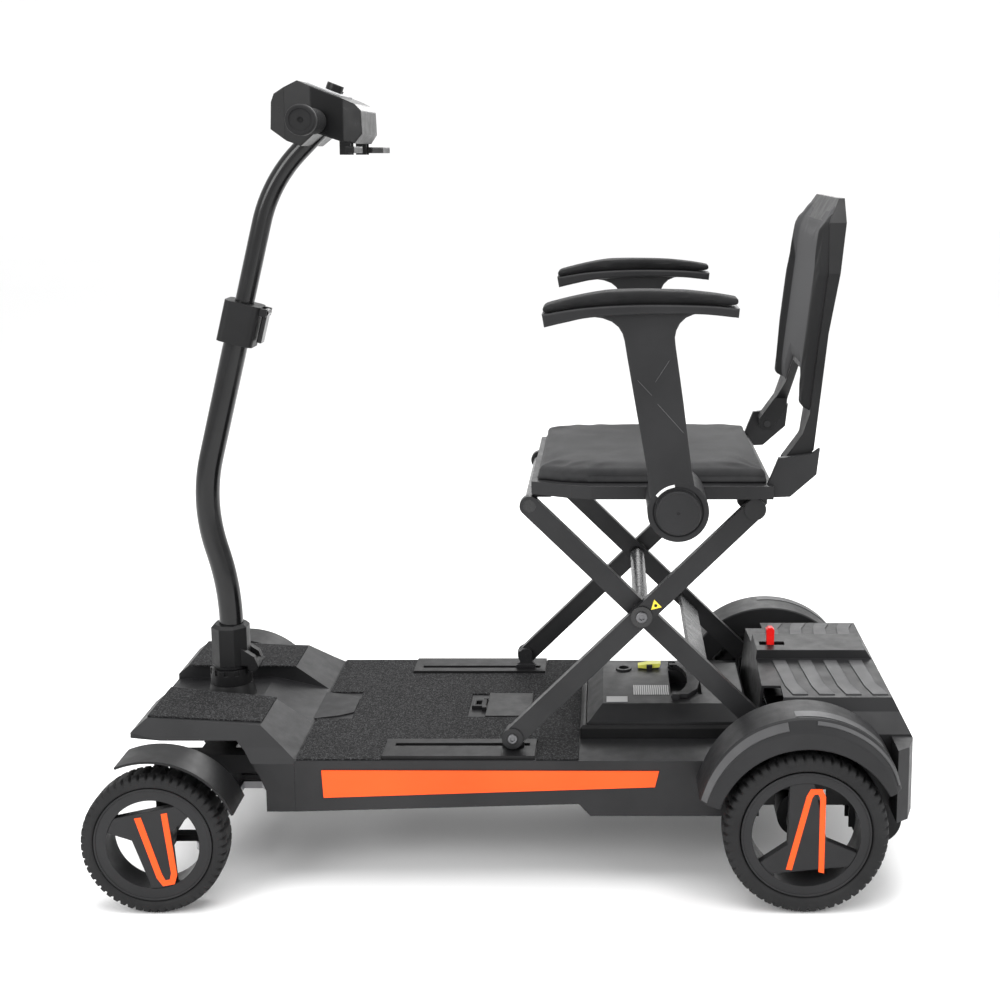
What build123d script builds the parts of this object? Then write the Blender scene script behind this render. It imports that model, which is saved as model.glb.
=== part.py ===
"""Folding mobility scooter: deck chassis, scissor seat, folding tiller and four wheels.

Axes: the front of the scooter points to -X, the rider's left hand is -Y and up is +Z.
The origin is on the ground below the middle of the overall box. Sizes are millimetres.
"""

from build123d import *
import os
from math import atan2, cos, degrees, hypot, radians, sin

os.makedirs("parts", exist_ok=True)

# ---------------------------------------------------------------- driving sizes
OVERALL_LENGTH = 1023.4      # front of the front tyres to the end of the rear cover
WHEELBASE = 796.5
TYRE_FACE_Y = 250.0          # outer face of every tyre, from the middle plane

FRONT_TYRE_R = 89.0
FRONT_TYRE_W = 40.0
FRONT_RIM_R = 72.0
FRONT_WINDOW_R = 57.0
REAR_TYRE_R = 101.5
REAR_TYRE_W = 50.0
REAR_RIM_R = 79.5
REAR_WINDOW_R = 66.5

DECK_TOP = 170.0             # standing surface, without the mat
DECK_HALF = 185.0            # half width of the deck
DECK_FRONT_SETBACK = 161.7   # front axle to the seam between nose cover and deck
DECK_REAR_SETBACK = 278.8    # rear axle to the front of the battery housing
SKIN = 4.0                   # wall of the large moulded covers
MAT_T = 2.0

RAIL_SECTION = 25.0          # square frame tube
RAIL_BOTTOM = 118.0
RAIL_Y = 90.0                # middle of each frame tube

SCISSOR_DEG = 44.5           # slope of the legs with the seat up
LOWER_LINK = 228.0           # pivot on the chassis to the crossing
UPPER_LINK = 196.0           # crossing to the pivot on the seat
HEEL_SETBACK = 37.2          # rear axle to the rear chassis pivot
HEEL_Z = 190.2
LEG_DEPTH = 25.0
LEG_T = 12.0
OUTER_LEG_Y = 150.0          # inner face of the outer legs
LEG_GAP = 4.0                # between an outer and an inner leg

SEAT_BOTTOM = 503.0
SEAT_BASE_T = 16.0
SEAT_CUSHION_T = 19.0
SEAT_DEPTH = 298.0
SEAT_HALF = 175.0

BACK_HALF = 160.0
BACK_LEAN = 6.3              # degrees from upright
BACK_HINGE_Z = 541.0
BACK_TOP = 867.0

ARM_HUB_Z = 510.0
ARM_POST_Y = 240.0           # inner face of the armrest post
ARM_POST_T = 28.0
ARM_PAD_W = 50.0

COLUMN_SETBACK = 38.7        # front axle to the steering axis
BASE_Z = 190.0               # seat of the steering base on the nose cover
TILLER_HINGE_Z = 233.0
TUBE_R = 16.0
UPPER_TUBE_R = 12.5
TUBE_WALL = 1.6

RUN = 0.05                   # radial clearance of a pin in its bore
SLIDE_GAP = 0.4              # between faces that move past each other
SEAT_FIT = 0.05              # between pieces that are pressed or glued together

# ---------------------------------------------------------------- derived places
FRONT_AXLE_X = -OVERALL_LENGTH / 2 + FRONT_TYRE_R
REAR_AXLE_X = FRONT_AXLE_X + WHEELBASE
TAIL_X = OVERALL_LENGTH / 2
COLUMN_X = FRONT_AXLE_X + COLUMN_SETBACK
DECK_FRONT_X = FRONT_AXLE_X + DECK_FRONT_SETBACK
DECK_REAR_X = REAR_AXLE_X - DECK_REAR_SETBACK
HEEL_X = REAR_AXLE_X - HEEL_SETBACK

REACH_LOW = LOWER_LINK * cos(radians(SCISSOR_DEG))
RISE_LOW = LOWER_LINK * sin(radians(SCISSOR_DEG))
REACH_UP = UPPER_LINK * cos(radians(SCISSOR_DEG))
RISE_UP = UPPER_LINK * sin(radians(SCISSOR_DEG))
CROSS_X = HEEL_X - REACH_LOW
CROSS_Z = HEEL_Z + RISE_LOW
TOE_X = CROSS_X - REACH_LOW
SEAT_PIVOT_X = CROSS_X + REACH_UP
SEAT_PIVOT_Z = CROSS_Z + RISE_UP
SEAT_CATCH_X = CROSS_X - REACH_UP
INNER_LEG_Y = OUTER_LEG_Y - LEG_GAP - LEG_T

SEAT_REAR_X = SEAT_PIVOT_X + 21.0
SEAT_FRONT_X = SEAT_REAR_X - SEAT_DEPTH
SEAT_TOP = SEAT_BOTTOM + SEAT_BASE_T + SEAT_CUSHION_T
BACK_HINGE_X = SEAT_REAR_X + 24.0
ARM_HUB_X = SEAT_FRONT_X + 177.0
RAIL_TOP = RAIL_BOTTOM + RAIL_SECTION


# ---------------------------------------------------------------- shared makers
def level(y):
    """Plane parallel to the middle plane at the given Y, with X right and Z up."""
    return Plane.XZ.offset(-y)


def slab(points, a, b):
    """Prism with a side outline in X and Z, between the planes y=a and y=b."""
    with BuildPart() as piece:
        with BuildSketch(level(max(a, b))):
            with BuildLine():
                Polyline(*points, close=True)
            make_face()
        extrude(amount=abs(a - b))
    return piece.part


def plate(points, bottom, top):
    """Prism with a plan outline in X and Y, between two heights."""
    with BuildPart() as piece:
        with BuildSketch(Plane.XY.offset(bottom)):
            with BuildLine():
                Polyline(*points, close=True)
            make_face()
        extrude(amount=top - bottom)
    return piece.part


def section(points, x0, x1):
    """Prism with a front outline in Y and Z, between two places along X."""
    with BuildPart() as piece:
        with BuildSketch(Plane.YZ.offset(x0)):
            with BuildLine():
                Polyline(*points, close=True)
            make_face()
        extrude(amount=x1 - x0)
    return piece.part


def block(x0, x1, y0, y1, z0, z1):
    """Rectangular block between two corners."""
    return plate([(x0, y0), (x1, y0), (x1, y1), (x0, y1)], z0, z1)


def cross_bar(x, z, radius, a, b):
    """Round bar along Y."""
    with BuildPart() as piece:
        with BuildSketch(level(max(a, b))):
            with Locations((x, z)):
                Circle(radius)
        extrude(amount=abs(a - b))
    return piece.part


def post(x, y, radius, z0, z1):
    """Round bar along Z."""
    with BuildPart() as piece:
        with BuildSketch(Plane.XY.offset(z0)):
            with Locations((x, y)):
                Circle(radius)
        extrude(amount=z1 - z0)
    return piece.part


def both_sides(points):
    """Outline points given for +Y only, closed with their mirror image."""
    return points + [(x, -y) for x, y in reversed(points)]


def both_halves(points):
    """Front outline in Y and Z given for +Y only, closed with its mirror image."""
    return points + [(-y, z) for y, z in reversed(points)]


def rod(start, end, radius):
    """Round bar in the middle plane between two points in X and Z."""
    run = Vector(end[0] - start[0], 0, end[1] - start[1])
    with BuildPart() as piece:
        with BuildSketch(Plane(origin=(start[0], 0, start[1]), z_dir=run)):
            Circle(radius)
        extrude(amount=run.length)
    return piece.part


def bar_between(p, q, depth, a, b):
    """Flat bar with round ends from one pivot to another, between the planes y=a and y=b."""
    run = Vector(q[0] - p[0], q[1] - p[1], 0)
    with BuildPart() as piece:
        with BuildSketch(level(max(a, b))):
            with Locations(((p[0] + q[0]) / 2, (p[1] + q[1]) / 2)):
                SlotCenterToCenter(run.length, depth, rotation=degrees(atan2(run.Y, run.X)))
        extrude(amount=abs(a - b))
    return piece.part


def save(piece, label):
    """Names a finished piece and writes it."""
    piece.part.label = label
    export_step(piece.part, f"parts/{label}.step")


# ---------------------------------------------------------------- chassis frame
FRAME_FRONT_X = FRONT_AXLE_X - 16.0
FRAME_REAR_X = TAIL_X - 60.0

# Two square tubes run the whole length below the deck.
with BuildPart() as frame_rails:
    for side in (-1, 1):
        add(block(FRAME_FRONT_X, FRAME_REAR_X,
                  side * RAIL_Y - RAIL_SECTION / 2, side * RAIL_Y + RAIL_SECTION / 2,
                  RAIL_BOTTOM, RAIL_TOP))
        add(block(FRAME_FRONT_X, FRAME_REAR_X,
                  side * RAIL_Y - RAIL_SECTION / 2 + 2.5, side * RAIL_Y + RAIL_SECTION / 2 - 2.5,
                  RAIL_BOTTOM + 2.5, RAIL_TOP - 2.5), mode=Mode.SUBTRACT)
save(frame_rails, "frame_rails")

# Bars across the frame carry the deck; the outer ones end at the deck's side walls.
DECK_INNER_HALF = DECK_HALF - SKIN
DECK_SOFFIT = DECK_TOP - SKIN
BAR_W = 24.0
deck_span = DECK_REAR_X - DECK_FRONT_X
bar_places = [DECK_FRONT_X + deck_span * share for share in (0.17, 0.55, 0.93)]
HEEL_TUBE_R = 8.0
HEEL_BRACKET_IN = INNER_LEG_Y - 14.0
HEEL_BRACKET_OUT = INNER_LEG_Y - 0.3
ANTI_TIP_X = TAIL_X - 40.7
ANTI_TIP_Z = 89.0
ANTI_TIP_Y = 165.0
ANTI_TIP_W = 26.0
ANTI_TIP_PIN_R = 5.0
FORK_T = 3.0
with BuildPart() as cross_members:
    for x in bar_places:
        add(block(x - BAR_W / 2, x + BAR_W / 2, -DECK_INNER_HALF, DECK_INNER_HALF,
                  RAIL_TOP, DECK_SOFFIT))
    # rear bar with the two brackets that carry the scissor's fixed pivot
    add(block(HEEL_X - 14.0, HEEL_X + 14.0, -DECK_INNER_HALF, DECK_INNER_HALF, RAIL_TOP,
              DECK_SOFFIT))
    for side in (-1, 1):
        near_y = side * HEEL_BRACKET_IN
        far_y = side * HEEL_BRACKET_OUT
        add(slab([(HEEL_X - 14.0, RAIL_TOP), (HEEL_X + 14.0, RAIL_TOP), (HEEL_X + 14.0, HEEL_Z + 6.0),
                  (HEEL_X + 6.0, HEEL_Z + 14.0), (HEEL_X - 6.0, HEEL_Z + 14.0),
                  (HEEL_X - 14.0, HEEL_Z + 6.0)], near_y, far_y))
        add(cross_bar(HEEL_X, HEEL_Z, HEEL_TUBE_R + RUN, near_y, far_y), mode=Mode.SUBTRACT)
    # bar under the frame's rear end with the forks of the anti-tip wheels
    fork_span = ANTI_TIP_W / 2 + 1.0 + FORK_T
    add(block(FRAME_REAR_X - 24.0, FRAME_REAR_X - 8.0, -ANTI_TIP_Y - fork_span,
              ANTI_TIP_Y + fork_span, RAIL_BOTTOM - 8.0, RAIL_BOTTOM))
    for side in (-1, 1):
        mid = side * ANTI_TIP_Y
        add(block(FRAME_REAR_X - 16.0, ANTI_TIP_X + 8.0, mid - fork_span, mid + fork_span,
                  RAIL_BOTTOM + 5.0, RAIL_BOTTOM + 9.0))
        for inner in (mid - fork_span, mid + fork_span - FORK_T):
            add(block(FRAME_REAR_X - 16.0, ANTI_TIP_X + 8.0, inner, inner + FORK_T,
                      ANTI_TIP_Z - 8.0, RAIL_BOTTOM + 9.0))
        add(cross_bar(ANTI_TIP_X, ANTI_TIP_Z, ANTI_TIP_PIN_R, mid - fork_span, mid + fork_span))
save(cross_members, "cross_members")

with BuildPart() as anti_tip_wheels:
    for side in (-1, 1):
        near_y = side * ANTI_TIP_Y - ANTI_TIP_W / 2
        add(cross_bar(ANTI_TIP_X, ANTI_TIP_Z, 32.0, near_y, near_y + ANTI_TIP_W))
        add(cross_bar(ANTI_TIP_X, ANTI_TIP_Z, ANTI_TIP_PIN_R + RUN, near_y - 1.0,
                      near_y + ANTI_TIP_W + 1.0), mode=Mode.SUBTRACT)
save(anti_tip_wheels, "anti_tip_wheels")

# ---------------------------------------------------------------- front axle and steering joints
KINGPIN_Y = 182.0
KINGPIN_R = 6.0
STEER_ARM = 45.0             # kingpin to tie rod pin, also the length of the column's arm
BEAM_HALF = 12.0
BOSS_R = 12.0
AXLE_Z = FRONT_TYRE_R
FORK_GAP = 0.3
STUB_R = 6.0
ARM_Z0 = AXLE_Z - 23.0
ARM_Z1 = AXLE_Z - 15.0 - FORK_GAP
STEER_PIN_R = 5.0
GUARD_IN = 196.0             # inner edge of the mudguard
GUARD_OUT = TYRE_FACE_Y + 2.0
GUARD_R = FRONT_TYRE_R + 17.0
GUARD_T = 3.0
GUARD_REAR = 22.0            # degrees above the axle where the mudguard ends behind
GUARD_GAP = 2.0              # around the turning mudguard

with BuildPart() as front_axle:
    add(block(FRONT_AXLE_X - BEAM_HALF, FRONT_AXLE_X + BEAM_HALF, -KINGPIN_Y, KINGPIN_Y,
              AXLE_Z - BEAM_HALF, AXLE_Z + BEAM_HALF))
    for side in (-1, 1):
        add(post(FRONT_AXLE_X, side * KINGPIN_Y, BOSS_R, AXLE_Z - 15.0, AXLE_Z + 15.0))
        add(block(FRONT_AXLE_X - BEAM_HALF, FRONT_AXLE_X + BEAM_HALF,
                  side * RAIL_Y - 10.0, side * RAIL_Y + 10.0, AXLE_Z + BEAM_HALF, RAIL_BOTTOM))
    for side in (-1, 1):
        add(post(FRONT_AXLE_X, side * KINGPIN_Y, KINGPIN_R, ARM_Z0 - 2.0, AXLE_Z + 25.0))
save(front_axle, "front_axle")


def knuckle(side, label):
    """Steering knuckle with stub axle and rearward arm, and the mudguard screwed on it."""
    y = side * KINGPIN_Y
    web_in = side * (KINGPIN_Y + BOSS_R + 2.0)
    web_out = side * (KINGPIN_Y + BOSS_R + 12.0)
    with BuildPart() as piece:
        for z0, z1 in ((AXLE_Z + 15.0 + FORK_GAP, AXLE_Z + 23.0), (ARM_Z0, ARM_Z1)):
            add(block(FRONT_AXLE_X - BOSS_R, FRONT_AXLE_X + BOSS_R, y, web_out, z0, z1))
            add(post(FRONT_AXLE_X, y, BOSS_R, z0, z1))
        add(block(FRONT_AXLE_X - BOSS_R, FRONT_AXLE_X + BOSS_R, web_in, web_out,
                  ARM_Z0, AXLE_Z + 23.0))
        add(block(FRONT_AXLE_X, FRONT_AXLE_X + STEER_ARM, y - 8.0, y + 8.0, ARM_Z0, ARM_Z1))
        add(post(FRONT_AXLE_X + STEER_ARM, y, 10.0, ARM_Z0, ARM_Z1))
        add(post(FRONT_AXLE_X, y, KINGPIN_R + RUN, ARM_Z0 - 1.0, AXLE_Z + 24.0),
            mode=Mode.SUBTRACT)
        add(post(FRONT_AXLE_X + STEER_ARM, y, STEER_PIN_R + RUN, ARM_Z0 - 1.0, ARM_Z1 + 1.0),
            mode=Mode.SUBTRACT)
        add(cross_bar(FRONT_AXLE_X, AXLE_Z, STUB_R, web_out, side * (TYRE_FACE_Y - 8.0)))
        # stay from the knuckle up to the mudguard
        add(block(FRONT_AXLE_X - 8.0, FRONT_AXLE_X + 8.0, web_in, side * (KINGPIN_Y + 20.0),
                  AXLE_Z + 23.0, AXLE_Z + GUARD_R))
    with BuildPart() as guard:
        with BuildSketch(level(max(side * GUARD_IN, side * GUARD_OUT))):
            with BuildLine():
                start, end = GUARD_REAR, 112.0
                c = (FRONT_AXLE_X, AXLE_Z)
                outer = CenterArc(c, GUARD_R + GUARD_T, start, end - start)
                inner = CenterArc(c, GUARD_R, start, end - start)
                Line(outer @ 0, inner @ 0)
                Line(outer @ 1, inner @ 1)
            make_face()
        extrude(amount=GUARD_OUT - GUARD_IN)
    with BuildPart() as assembly:
        add(piece.part)
        add(guard.part)
    save(assembly, label)


knuckle(-1, "front_knuckle_left")
knuckle(1, "front_knuckle_right")

# The tie rod joins both steering arms and the column's own arm.
TIE_Z0 = ARM_Z0 - 12.0
TIE_Z1 = ARM_Z0 - 2.0
with BuildPart() as tie_rod:
    add(block(FRONT_AXLE_X + STEER_ARM - 7.0, FRONT_AXLE_X + STEER_ARM + 7.0,
              -KINGPIN_Y, KINGPIN_Y, TIE_Z0, TIE_Z1))
    add(block(FRONT_AXLE_X + STEER_ARM, COLUMN_X + STEER_ARM, -7.0, 7.0, TIE_Z0, TIE_Z1))
    for x, y in ((FRONT_AXLE_X, -KINGPIN_Y), (FRONT_AXLE_X, KINGPIN_Y), (COLUMN_X, 0.0)):
        add(post(x + STEER_ARM, y, 10.0, TIE_Z0, TIE_Z1))
        add(post(x + STEER_ARM, y, STEER_PIN_R, TIE_Z1, ARM_Z1 + 3.0))
save(tie_rod, "tie_rod")

# ---------------------------------------------------------------- wheels
HUB_R = 20.0
AXLE_BORE_FRONT = STUB_R + RUN
DRIVE_SHAFT_R = 8.0


def spoke_windows(radius, chord, cut_half):
    """Three openings round the hub, in the wheel's own frame with the wide spoke end up."""
    with BuildSketch(Plane.XZ) as openings:
        with BuildLine():
            Polyline((24.0, 10.0), (radius * 0.95, radius * 0.48), (radius * 1.3, -radius * 0.3),
                     (radius * 0.5, -radius * 1.4), (cut_half, -radius * 0.95), close=True)
        make_face()
        mirror(about=Plane.YZ)
        with Locations((0, chord + radius / 2)):
            Rectangle(radius * 1.3, radius)
        with Locations((0, 0)):
            Circle(radius + 1.0, mode=Mode.INTERSECT)
    return openings.sketch


def wheel(side, x, tyre_r, width, rim_r, window_r, chord, tilt, bore_r, bore_depth, rim_label,
          tyre_label):
    """One wheel: a moulded rim with three windows, and its tyre."""
    face = side * TYRE_FACE_Y
    back = side * (TYRE_FACE_Y - width)

    def at(depth):
        return side * (TYRE_FACE_Y - depth)

    with BuildPart() as disc:
        with BuildSketch(Plane.XZ):
            Circle(window_r + 2.0)
            add(spoke_windows(window_r, chord, 15.0), mode=Mode.SUBTRACT)
        extrude(amount=10.0)
    turned = disc.part.rotate(Axis.Y, -tilt).moved(Location((x, max(at(5.0), at(15.0)), tyre_r)))
    with BuildPart() as rim:
        add(cross_bar(x, tyre_r, rim_r - SEAT_FIT, at(3.0), at(width - 3.0)))
        add(cross_bar(x, tyre_r, window_r, at(0.0), at(width)), mode=Mode.SUBTRACT)
        add(turned)
        add(cross_bar(x, tyre_r, HUB_R, at(4.0), at(width - 3.0)))
        add(cross_bar(x, tyre_r, bore_r, at(bore_depth), at(width)), mode=Mode.SUBTRACT)
    save(rim, rim_label)

    with BuildPart() as tyre:
        with BuildSketch(level(max(face, back))):
            with Locations((x, tyre_r)):
                Circle(tyre_r)
                Circle(rim_r, mode=Mode.SUBTRACT)
        extrude(amount=width)
        edges = tyre.edges().filter_by(GeomType.CIRCLE).sort_by(SortBy.RADIUS)[-2:]
        fillet(edges, radius=min(9.0, (tyre_r - rim_r) * 0.5))
    save(tyre, tyre_label)


for side, name in ((-1, "left"), (1, "right")):
    wheel(side, FRONT_AXLE_X, FRONT_TYRE_R, FRONT_TYRE_W, FRONT_RIM_R, FRONT_WINDOW_R, 42.0,
          11.9, AXLE_BORE_FRONT, 7.0, f"front_rim_{name}", f"front_tyre_{name}")
    wheel(side, REAR_AXLE_X, REAR_TYRE_R, REAR_TYRE_W, REAR_RIM_R, REAR_WINDOW_R, 46.0,
          180.0 + 5.8, DRIVE_SHAFT_R + RUN, 9.0, f"rear_rim_{name}", f"rear_tyre_{name}")

# ---------------------------------------------------------------- deck
DECK_BODY_REAR_X = HEEL_X - 14.6
PACK_HALF = 108.0
PACK_FRONT_X = DECK_REAR_X + 9.0
PACK_LENGTH = 212.0
PACK_REAR_X = PACK_FRONT_X + PACK_LENGTH
PACK_TOP = 204.5
PACK_GAP = 1.0
SKIRT_FRONT_Z = 103.0
SKIRT_REAR_Z = 113.0
REAR_TUB_Z = 97.0
FAR = 400.0                  # longer than any cut needs to be

pack_well = block(PACK_FRONT_X - PACK_GAP, PACK_REAR_X + PACK_GAP, -PACK_HALF - PACK_GAP,
                  PACK_HALF + PACK_GAP, RAIL_TOP - 1.0, PACK_TOP)
deck_outer = slab([(DECK_FRONT_X, DECK_TOP), (DECK_BODY_REAR_X, DECK_TOP),
                   (DECK_BODY_REAR_X, REAR_TUB_Z), (DECK_REAR_X + 15.0, REAR_TUB_Z),
                   (DECK_REAR_X, SKIRT_REAR_Z), (DECK_FRONT_X, SKIRT_FRONT_Z)],
                  -DECK_HALF, DECK_HALF)
deck_inner = slab([(DECK_FRONT_X + SKIN, DECK_SOFFIT), (DECK_BODY_REAR_X - SKIN, DECK_SOFFIT),
                   (DECK_BODY_REAR_X - SKIN, 0.0), (DECK_FRONT_X + SKIN, 0.0)],
                  -DECK_INNER_HALF, DECK_INNER_HALF)
with BuildPart() as deck_body:
    add(deck_outer)
    add(deck_inner, mode=Mode.SUBTRACT)
    add(pack_well, mode=Mode.SUBTRACT)
    # the frame tubes pass through both end walls
    for side in (-1, 1):
        add(block(-FAR, FAR, side * RAIL_Y - RAIL_SECTION / 2, side * RAIL_Y + RAIL_SECTION / 2,
                  RAIL_BOTTOM, RAIL_TOP), mode=Mode.SUBTRACT)
save(deck_body, "deck_body")

PAN_T = 3.0
with BuildPart() as belly_pan:
    add(block(DECK_FRONT_X + SKIN, DECK_BODY_REAR_X - SKIN, -DECK_INNER_HALF, DECK_INNER_HALF,
              RAIL_BOTTOM - PAN_T, RAIL_BOTTOM))
save(belly_pan, "belly_pan")

# Slotted guide rails for the seat's sliding feet, screwed on the deck near its edges.
GUIDE_TOP = DECK_TOP + 5.0
GUIDE_IN = 126.0
GUIDE_OUT = 181.0
GUIDE_FRONT_X = TOE_X - 163.0
GUIDE_REAR_X = TOE_X + 29.0
FOOT_Y = OUTER_LEG_Y - 6.0   # middle of the slot and of the foot's upright
SLOT_HALF = 4.5
with BuildPart() as deck_rails:
    for side in (-1, 1):
        add(block(GUIDE_FRONT_X, GUIDE_REAR_X, min(side * GUIDE_IN, side * GUIDE_OUT),
                  max(side * GUIDE_IN, side * GUIDE_OUT), DECK_TOP, GUIDE_TOP))
        add(block(GUIDE_FRONT_X + 12.0, GUIDE_REAR_X - 8.0, side * FOOT_Y - SLOT_HALF,
                  side * FOOT_Y + SLOT_HALF, DECK_TOP, GUIDE_TOP), mode=Mode.SUBTRACT)
save(deck_rails, "deck_rails")

# Anti-slip mats: one on the deck round the guide rails and the nose tongue, two on the nose.
TONGUE_REAR_X = DECK_FRONT_X + 48.0
TONGUE_HALF = 38.0
LATCH_X0 = TOE_X - 45.0
LATCH_X1 = TOE_X + 16.0
LATCH_HALF = 42.0
LOOP_LENGTH = 20.0
MAT_EDGE = 2.0
NOSE_PAD_FRONT_X = FRONT_AXLE_X - 32.0
NOSE_PAD_REAR_X = DECK_FRONT_X - 48.0
NOSE_PAD_FRONT_Z = 212.0
NOSE_PAD_REAR_Z = 204.5
NOSE_PAD_OUT = 145.0
nose_mats = slab([(NOSE_PAD_FRONT_X, NOSE_PAD_FRONT_Z), (NOSE_PAD_REAR_X, NOSE_PAD_REAR_Z),
                  (NOSE_PAD_REAR_X, NOSE_PAD_REAR_Z + MAT_T),
                  (NOSE_PAD_FRONT_X, NOSE_PAD_FRONT_Z + MAT_T)], -NOSE_PAD_OUT, NOSE_PAD_OUT)
nose_gap = plate([(NOSE_PAD_FRONT_X - 5.0, -42.0), (NOSE_PAD_REAR_X + 5.0, -61.0),
                  (NOSE_PAD_REAR_X + 5.0, 61.0), (NOSE_PAD_FRONT_X - 5.0, 42.0)],
                 NOSE_PAD_REAR_Z - 5.0, NOSE_PAD_FRONT_Z + 5.0)
with BuildPart() as grip_mats:
    add(block(DECK_FRONT_X + MAT_EDGE, DECK_REAR_X, -DECK_HALF + MAT_EDGE, DECK_HALF - MAT_EDGE,
              DECK_TOP, DECK_TOP + MAT_T))
    for side in (-1, 1):
        add(block(GUIDE_FRONT_X - 1.0, GUIDE_REAR_X + 1.0, min(side * (GUIDE_IN - 1.0), side * FAR),
                  max(side * (GUIDE_IN - 1.0), side * FAR), DECK_TOP, DECK_TOP + MAT_T),
            mode=Mode.SUBTRACT)
    add(block(-FAR, TONGUE_REAR_X + 1.0, -TONGUE_HALF - 11.0, TONGUE_HALF + 11.0, DECK_TOP,
              DECK_TOP + MAT_T), mode=Mode.SUBTRACT)
    add(block(LATCH_X0 - LOOP_LENGTH - 4.0, LATCH_X1 + 1.0, -LATCH_HALF - 1.0, LATCH_HALF + 1.0,
              DECK_TOP, DECK_TOP + MAT_T), mode=Mode.SUBTRACT)
    add(nose_mats)
    add(nose_gap, mode=Mode.SUBTRACT)
save(grip_mats, "grip_mats")

# Fold latch in the deck: a plate with two ears, and the pull loop hinged between them.
LATCH_T = 3.0
LOOP_PIN_R = 1.5
LOOP_PIN_X = LATCH_X0 - 3.5
LOOP_PIN_Z = DECK_TOP + 3.0
with BuildPart() as deck_latch:
    add(block(LATCH_X0, LATCH_X1, -LATCH_HALF, LATCH_HALF, DECK_TOP, DECK_TOP + LATCH_T))
    for side in (-1, 1):
        add(block(LATCH_X0 - 6.0, LATCH_X0, side * 16.0 - 3.0, side * 16.0 + 3.0, DECK_TOP,
                  DECK_TOP + 6.0))
    add(cross_bar(LOOP_PIN_X, LOOP_PIN_Z, LOOP_PIN_R, -19.0, 19.0))
save(deck_latch, "deck_latch")

with BuildPart() as latch_loop:
    add(block(LOOP_PIN_X - LOOP_LENGTH + 3.0, LOOP_PIN_X, -12.5, 12.5, DECK_TOP + SLIDE_GAP,
              LOOP_PIN_Z + 2.4))
    add(block(LOOP_PIN_X - LOOP_LENGTH + 8.0, LOOP_PIN_X - 4.0, -7.5, 7.5, DECK_TOP, FAR),
        mode=Mode.SUBTRACT)
    add(cross_bar(LOOP_PIN_X, LOOP_PIN_Z, 2.6, -12.5, 12.5))
    add(cross_bar(LOOP_PIN_X, LOOP_PIN_Z, LOOP_PIN_R + RUN, -13.0, 13.0), mode=Mode.SUBTRACT)
save(latch_loop, "latch_loop")

# Coloured trim along both deck edges, deeper at the front than at the rear.
STRIP_T = 1.5
with BuildPart() as side_strips:
    for side in (-1, 1):
        add(slab([(DECK_FRONT_X + 34.0, 158.0), (DECK_REAR_X + 101.0, 157.0),
                  (DECK_REAR_X + 96.0, 136.0), (DECK_FRONT_X + 36.0, 122.0)],
                 side * DECK_HALF, side * (DECK_HALF + STRIP_T)))
save(side_strips, "side_strips")

# ---------------------------------------------------------------- nose cover
NOSE_FRONT_X = FRONT_AXLE_X - 50.0
NOSE_WALL = 3.0


def nose_block(inset):
    """Faceted block of the nose cover, smaller all round by the inset and open below."""
    top = NOSE_PAD_FRONT_Z - inset
    drop = 60.0 if inset else 0.0
    outline = [(DECK_FRONT_X - inset, DECK_TOP - inset), (NOSE_PAD_REAR_X - inset * 0.4, NOSE_PAD_REAR_Z - inset),
               (NOSE_PAD_FRONT_X, top), (NOSE_FRONT_X + inset, 197.0 - inset),
               (NOSE_FRONT_X + inset, 190.0 - drop),
               (FRONT_AXLE_X + 52.0, 187.0 - drop), (FRONT_AXLE_X + 108.0, 145.0 - drop),
               (FRONT_AXLE_X + 118.0, 108.0 - drop), (FRONT_AXLE_X + 124.0, SKIRT_FRONT_Z - drop),
               (DECK_FRONT_X - inset, SKIRT_FRONT_Z - drop)]
    front_view = both_halves([(NOSE_PAD_OUT + 3.0 - inset * 0.5, NOSE_PAD_FRONT_Z + 1.0 - inset),
                              (DECK_HALF - 14.0 - inset, 182.0 - inset),
                              (DECK_HALF - inset, 166.0 - inset), (DECK_HALF - inset, 20.0)])
    plan = both_sides([(DECK_FRONT_X - inset, DECK_HALF - inset),
                       (FRONT_AXLE_X + 112.0, DECK_HALF - inset),
                       (NOSE_FRONT_X + inset, 160.0 - inset)])
    side_body = slab(outline, -FAR, FAR)
    cross_body = section(front_view, -FAR - 200.0, FAR)
    plan_body = plate(plan, 0.0, FAR)
    with BuildPart() as piece:
        add(side_body)
        add(cross_body, mode=Mode.INTERSECT)
        add(plan_body, mode=Mode.INTERSECT)
    return piece.part


def nose_valley(inset):
    """Trough between the two nose mats, from the front edge back to the deck."""
    trough = plate([(-FAR - 200.0, -46.0 - inset), (NOSE_PAD_REAR_X, -62.0 - inset),
                    (DECK_FRONT_X + 1.0, -62.0 - inset), (DECK_FRONT_X + 1.0, 62.0 + inset),
                    (NOSE_PAD_REAR_X, 62.0 + inset), (-FAR - 200.0, 46.0 + inset)], 100.0, FAR)
    floor = slab([(-FAR - 200.0, BASE_Z - inset), (COLUMN_X + 45.0, BASE_Z - inset),
                  (DECK_FRONT_X + 1.0, DECK_TOP + 1.0 - inset), (DECK_FRONT_X + 1.0, FAR),
                  (-FAR - 200.0, FAR)], -FAR, FAR)
    with BuildPart() as piece:
        add(trough)
        add(floor, mode=Mode.INTERSECT)
    return piece.part


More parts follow.
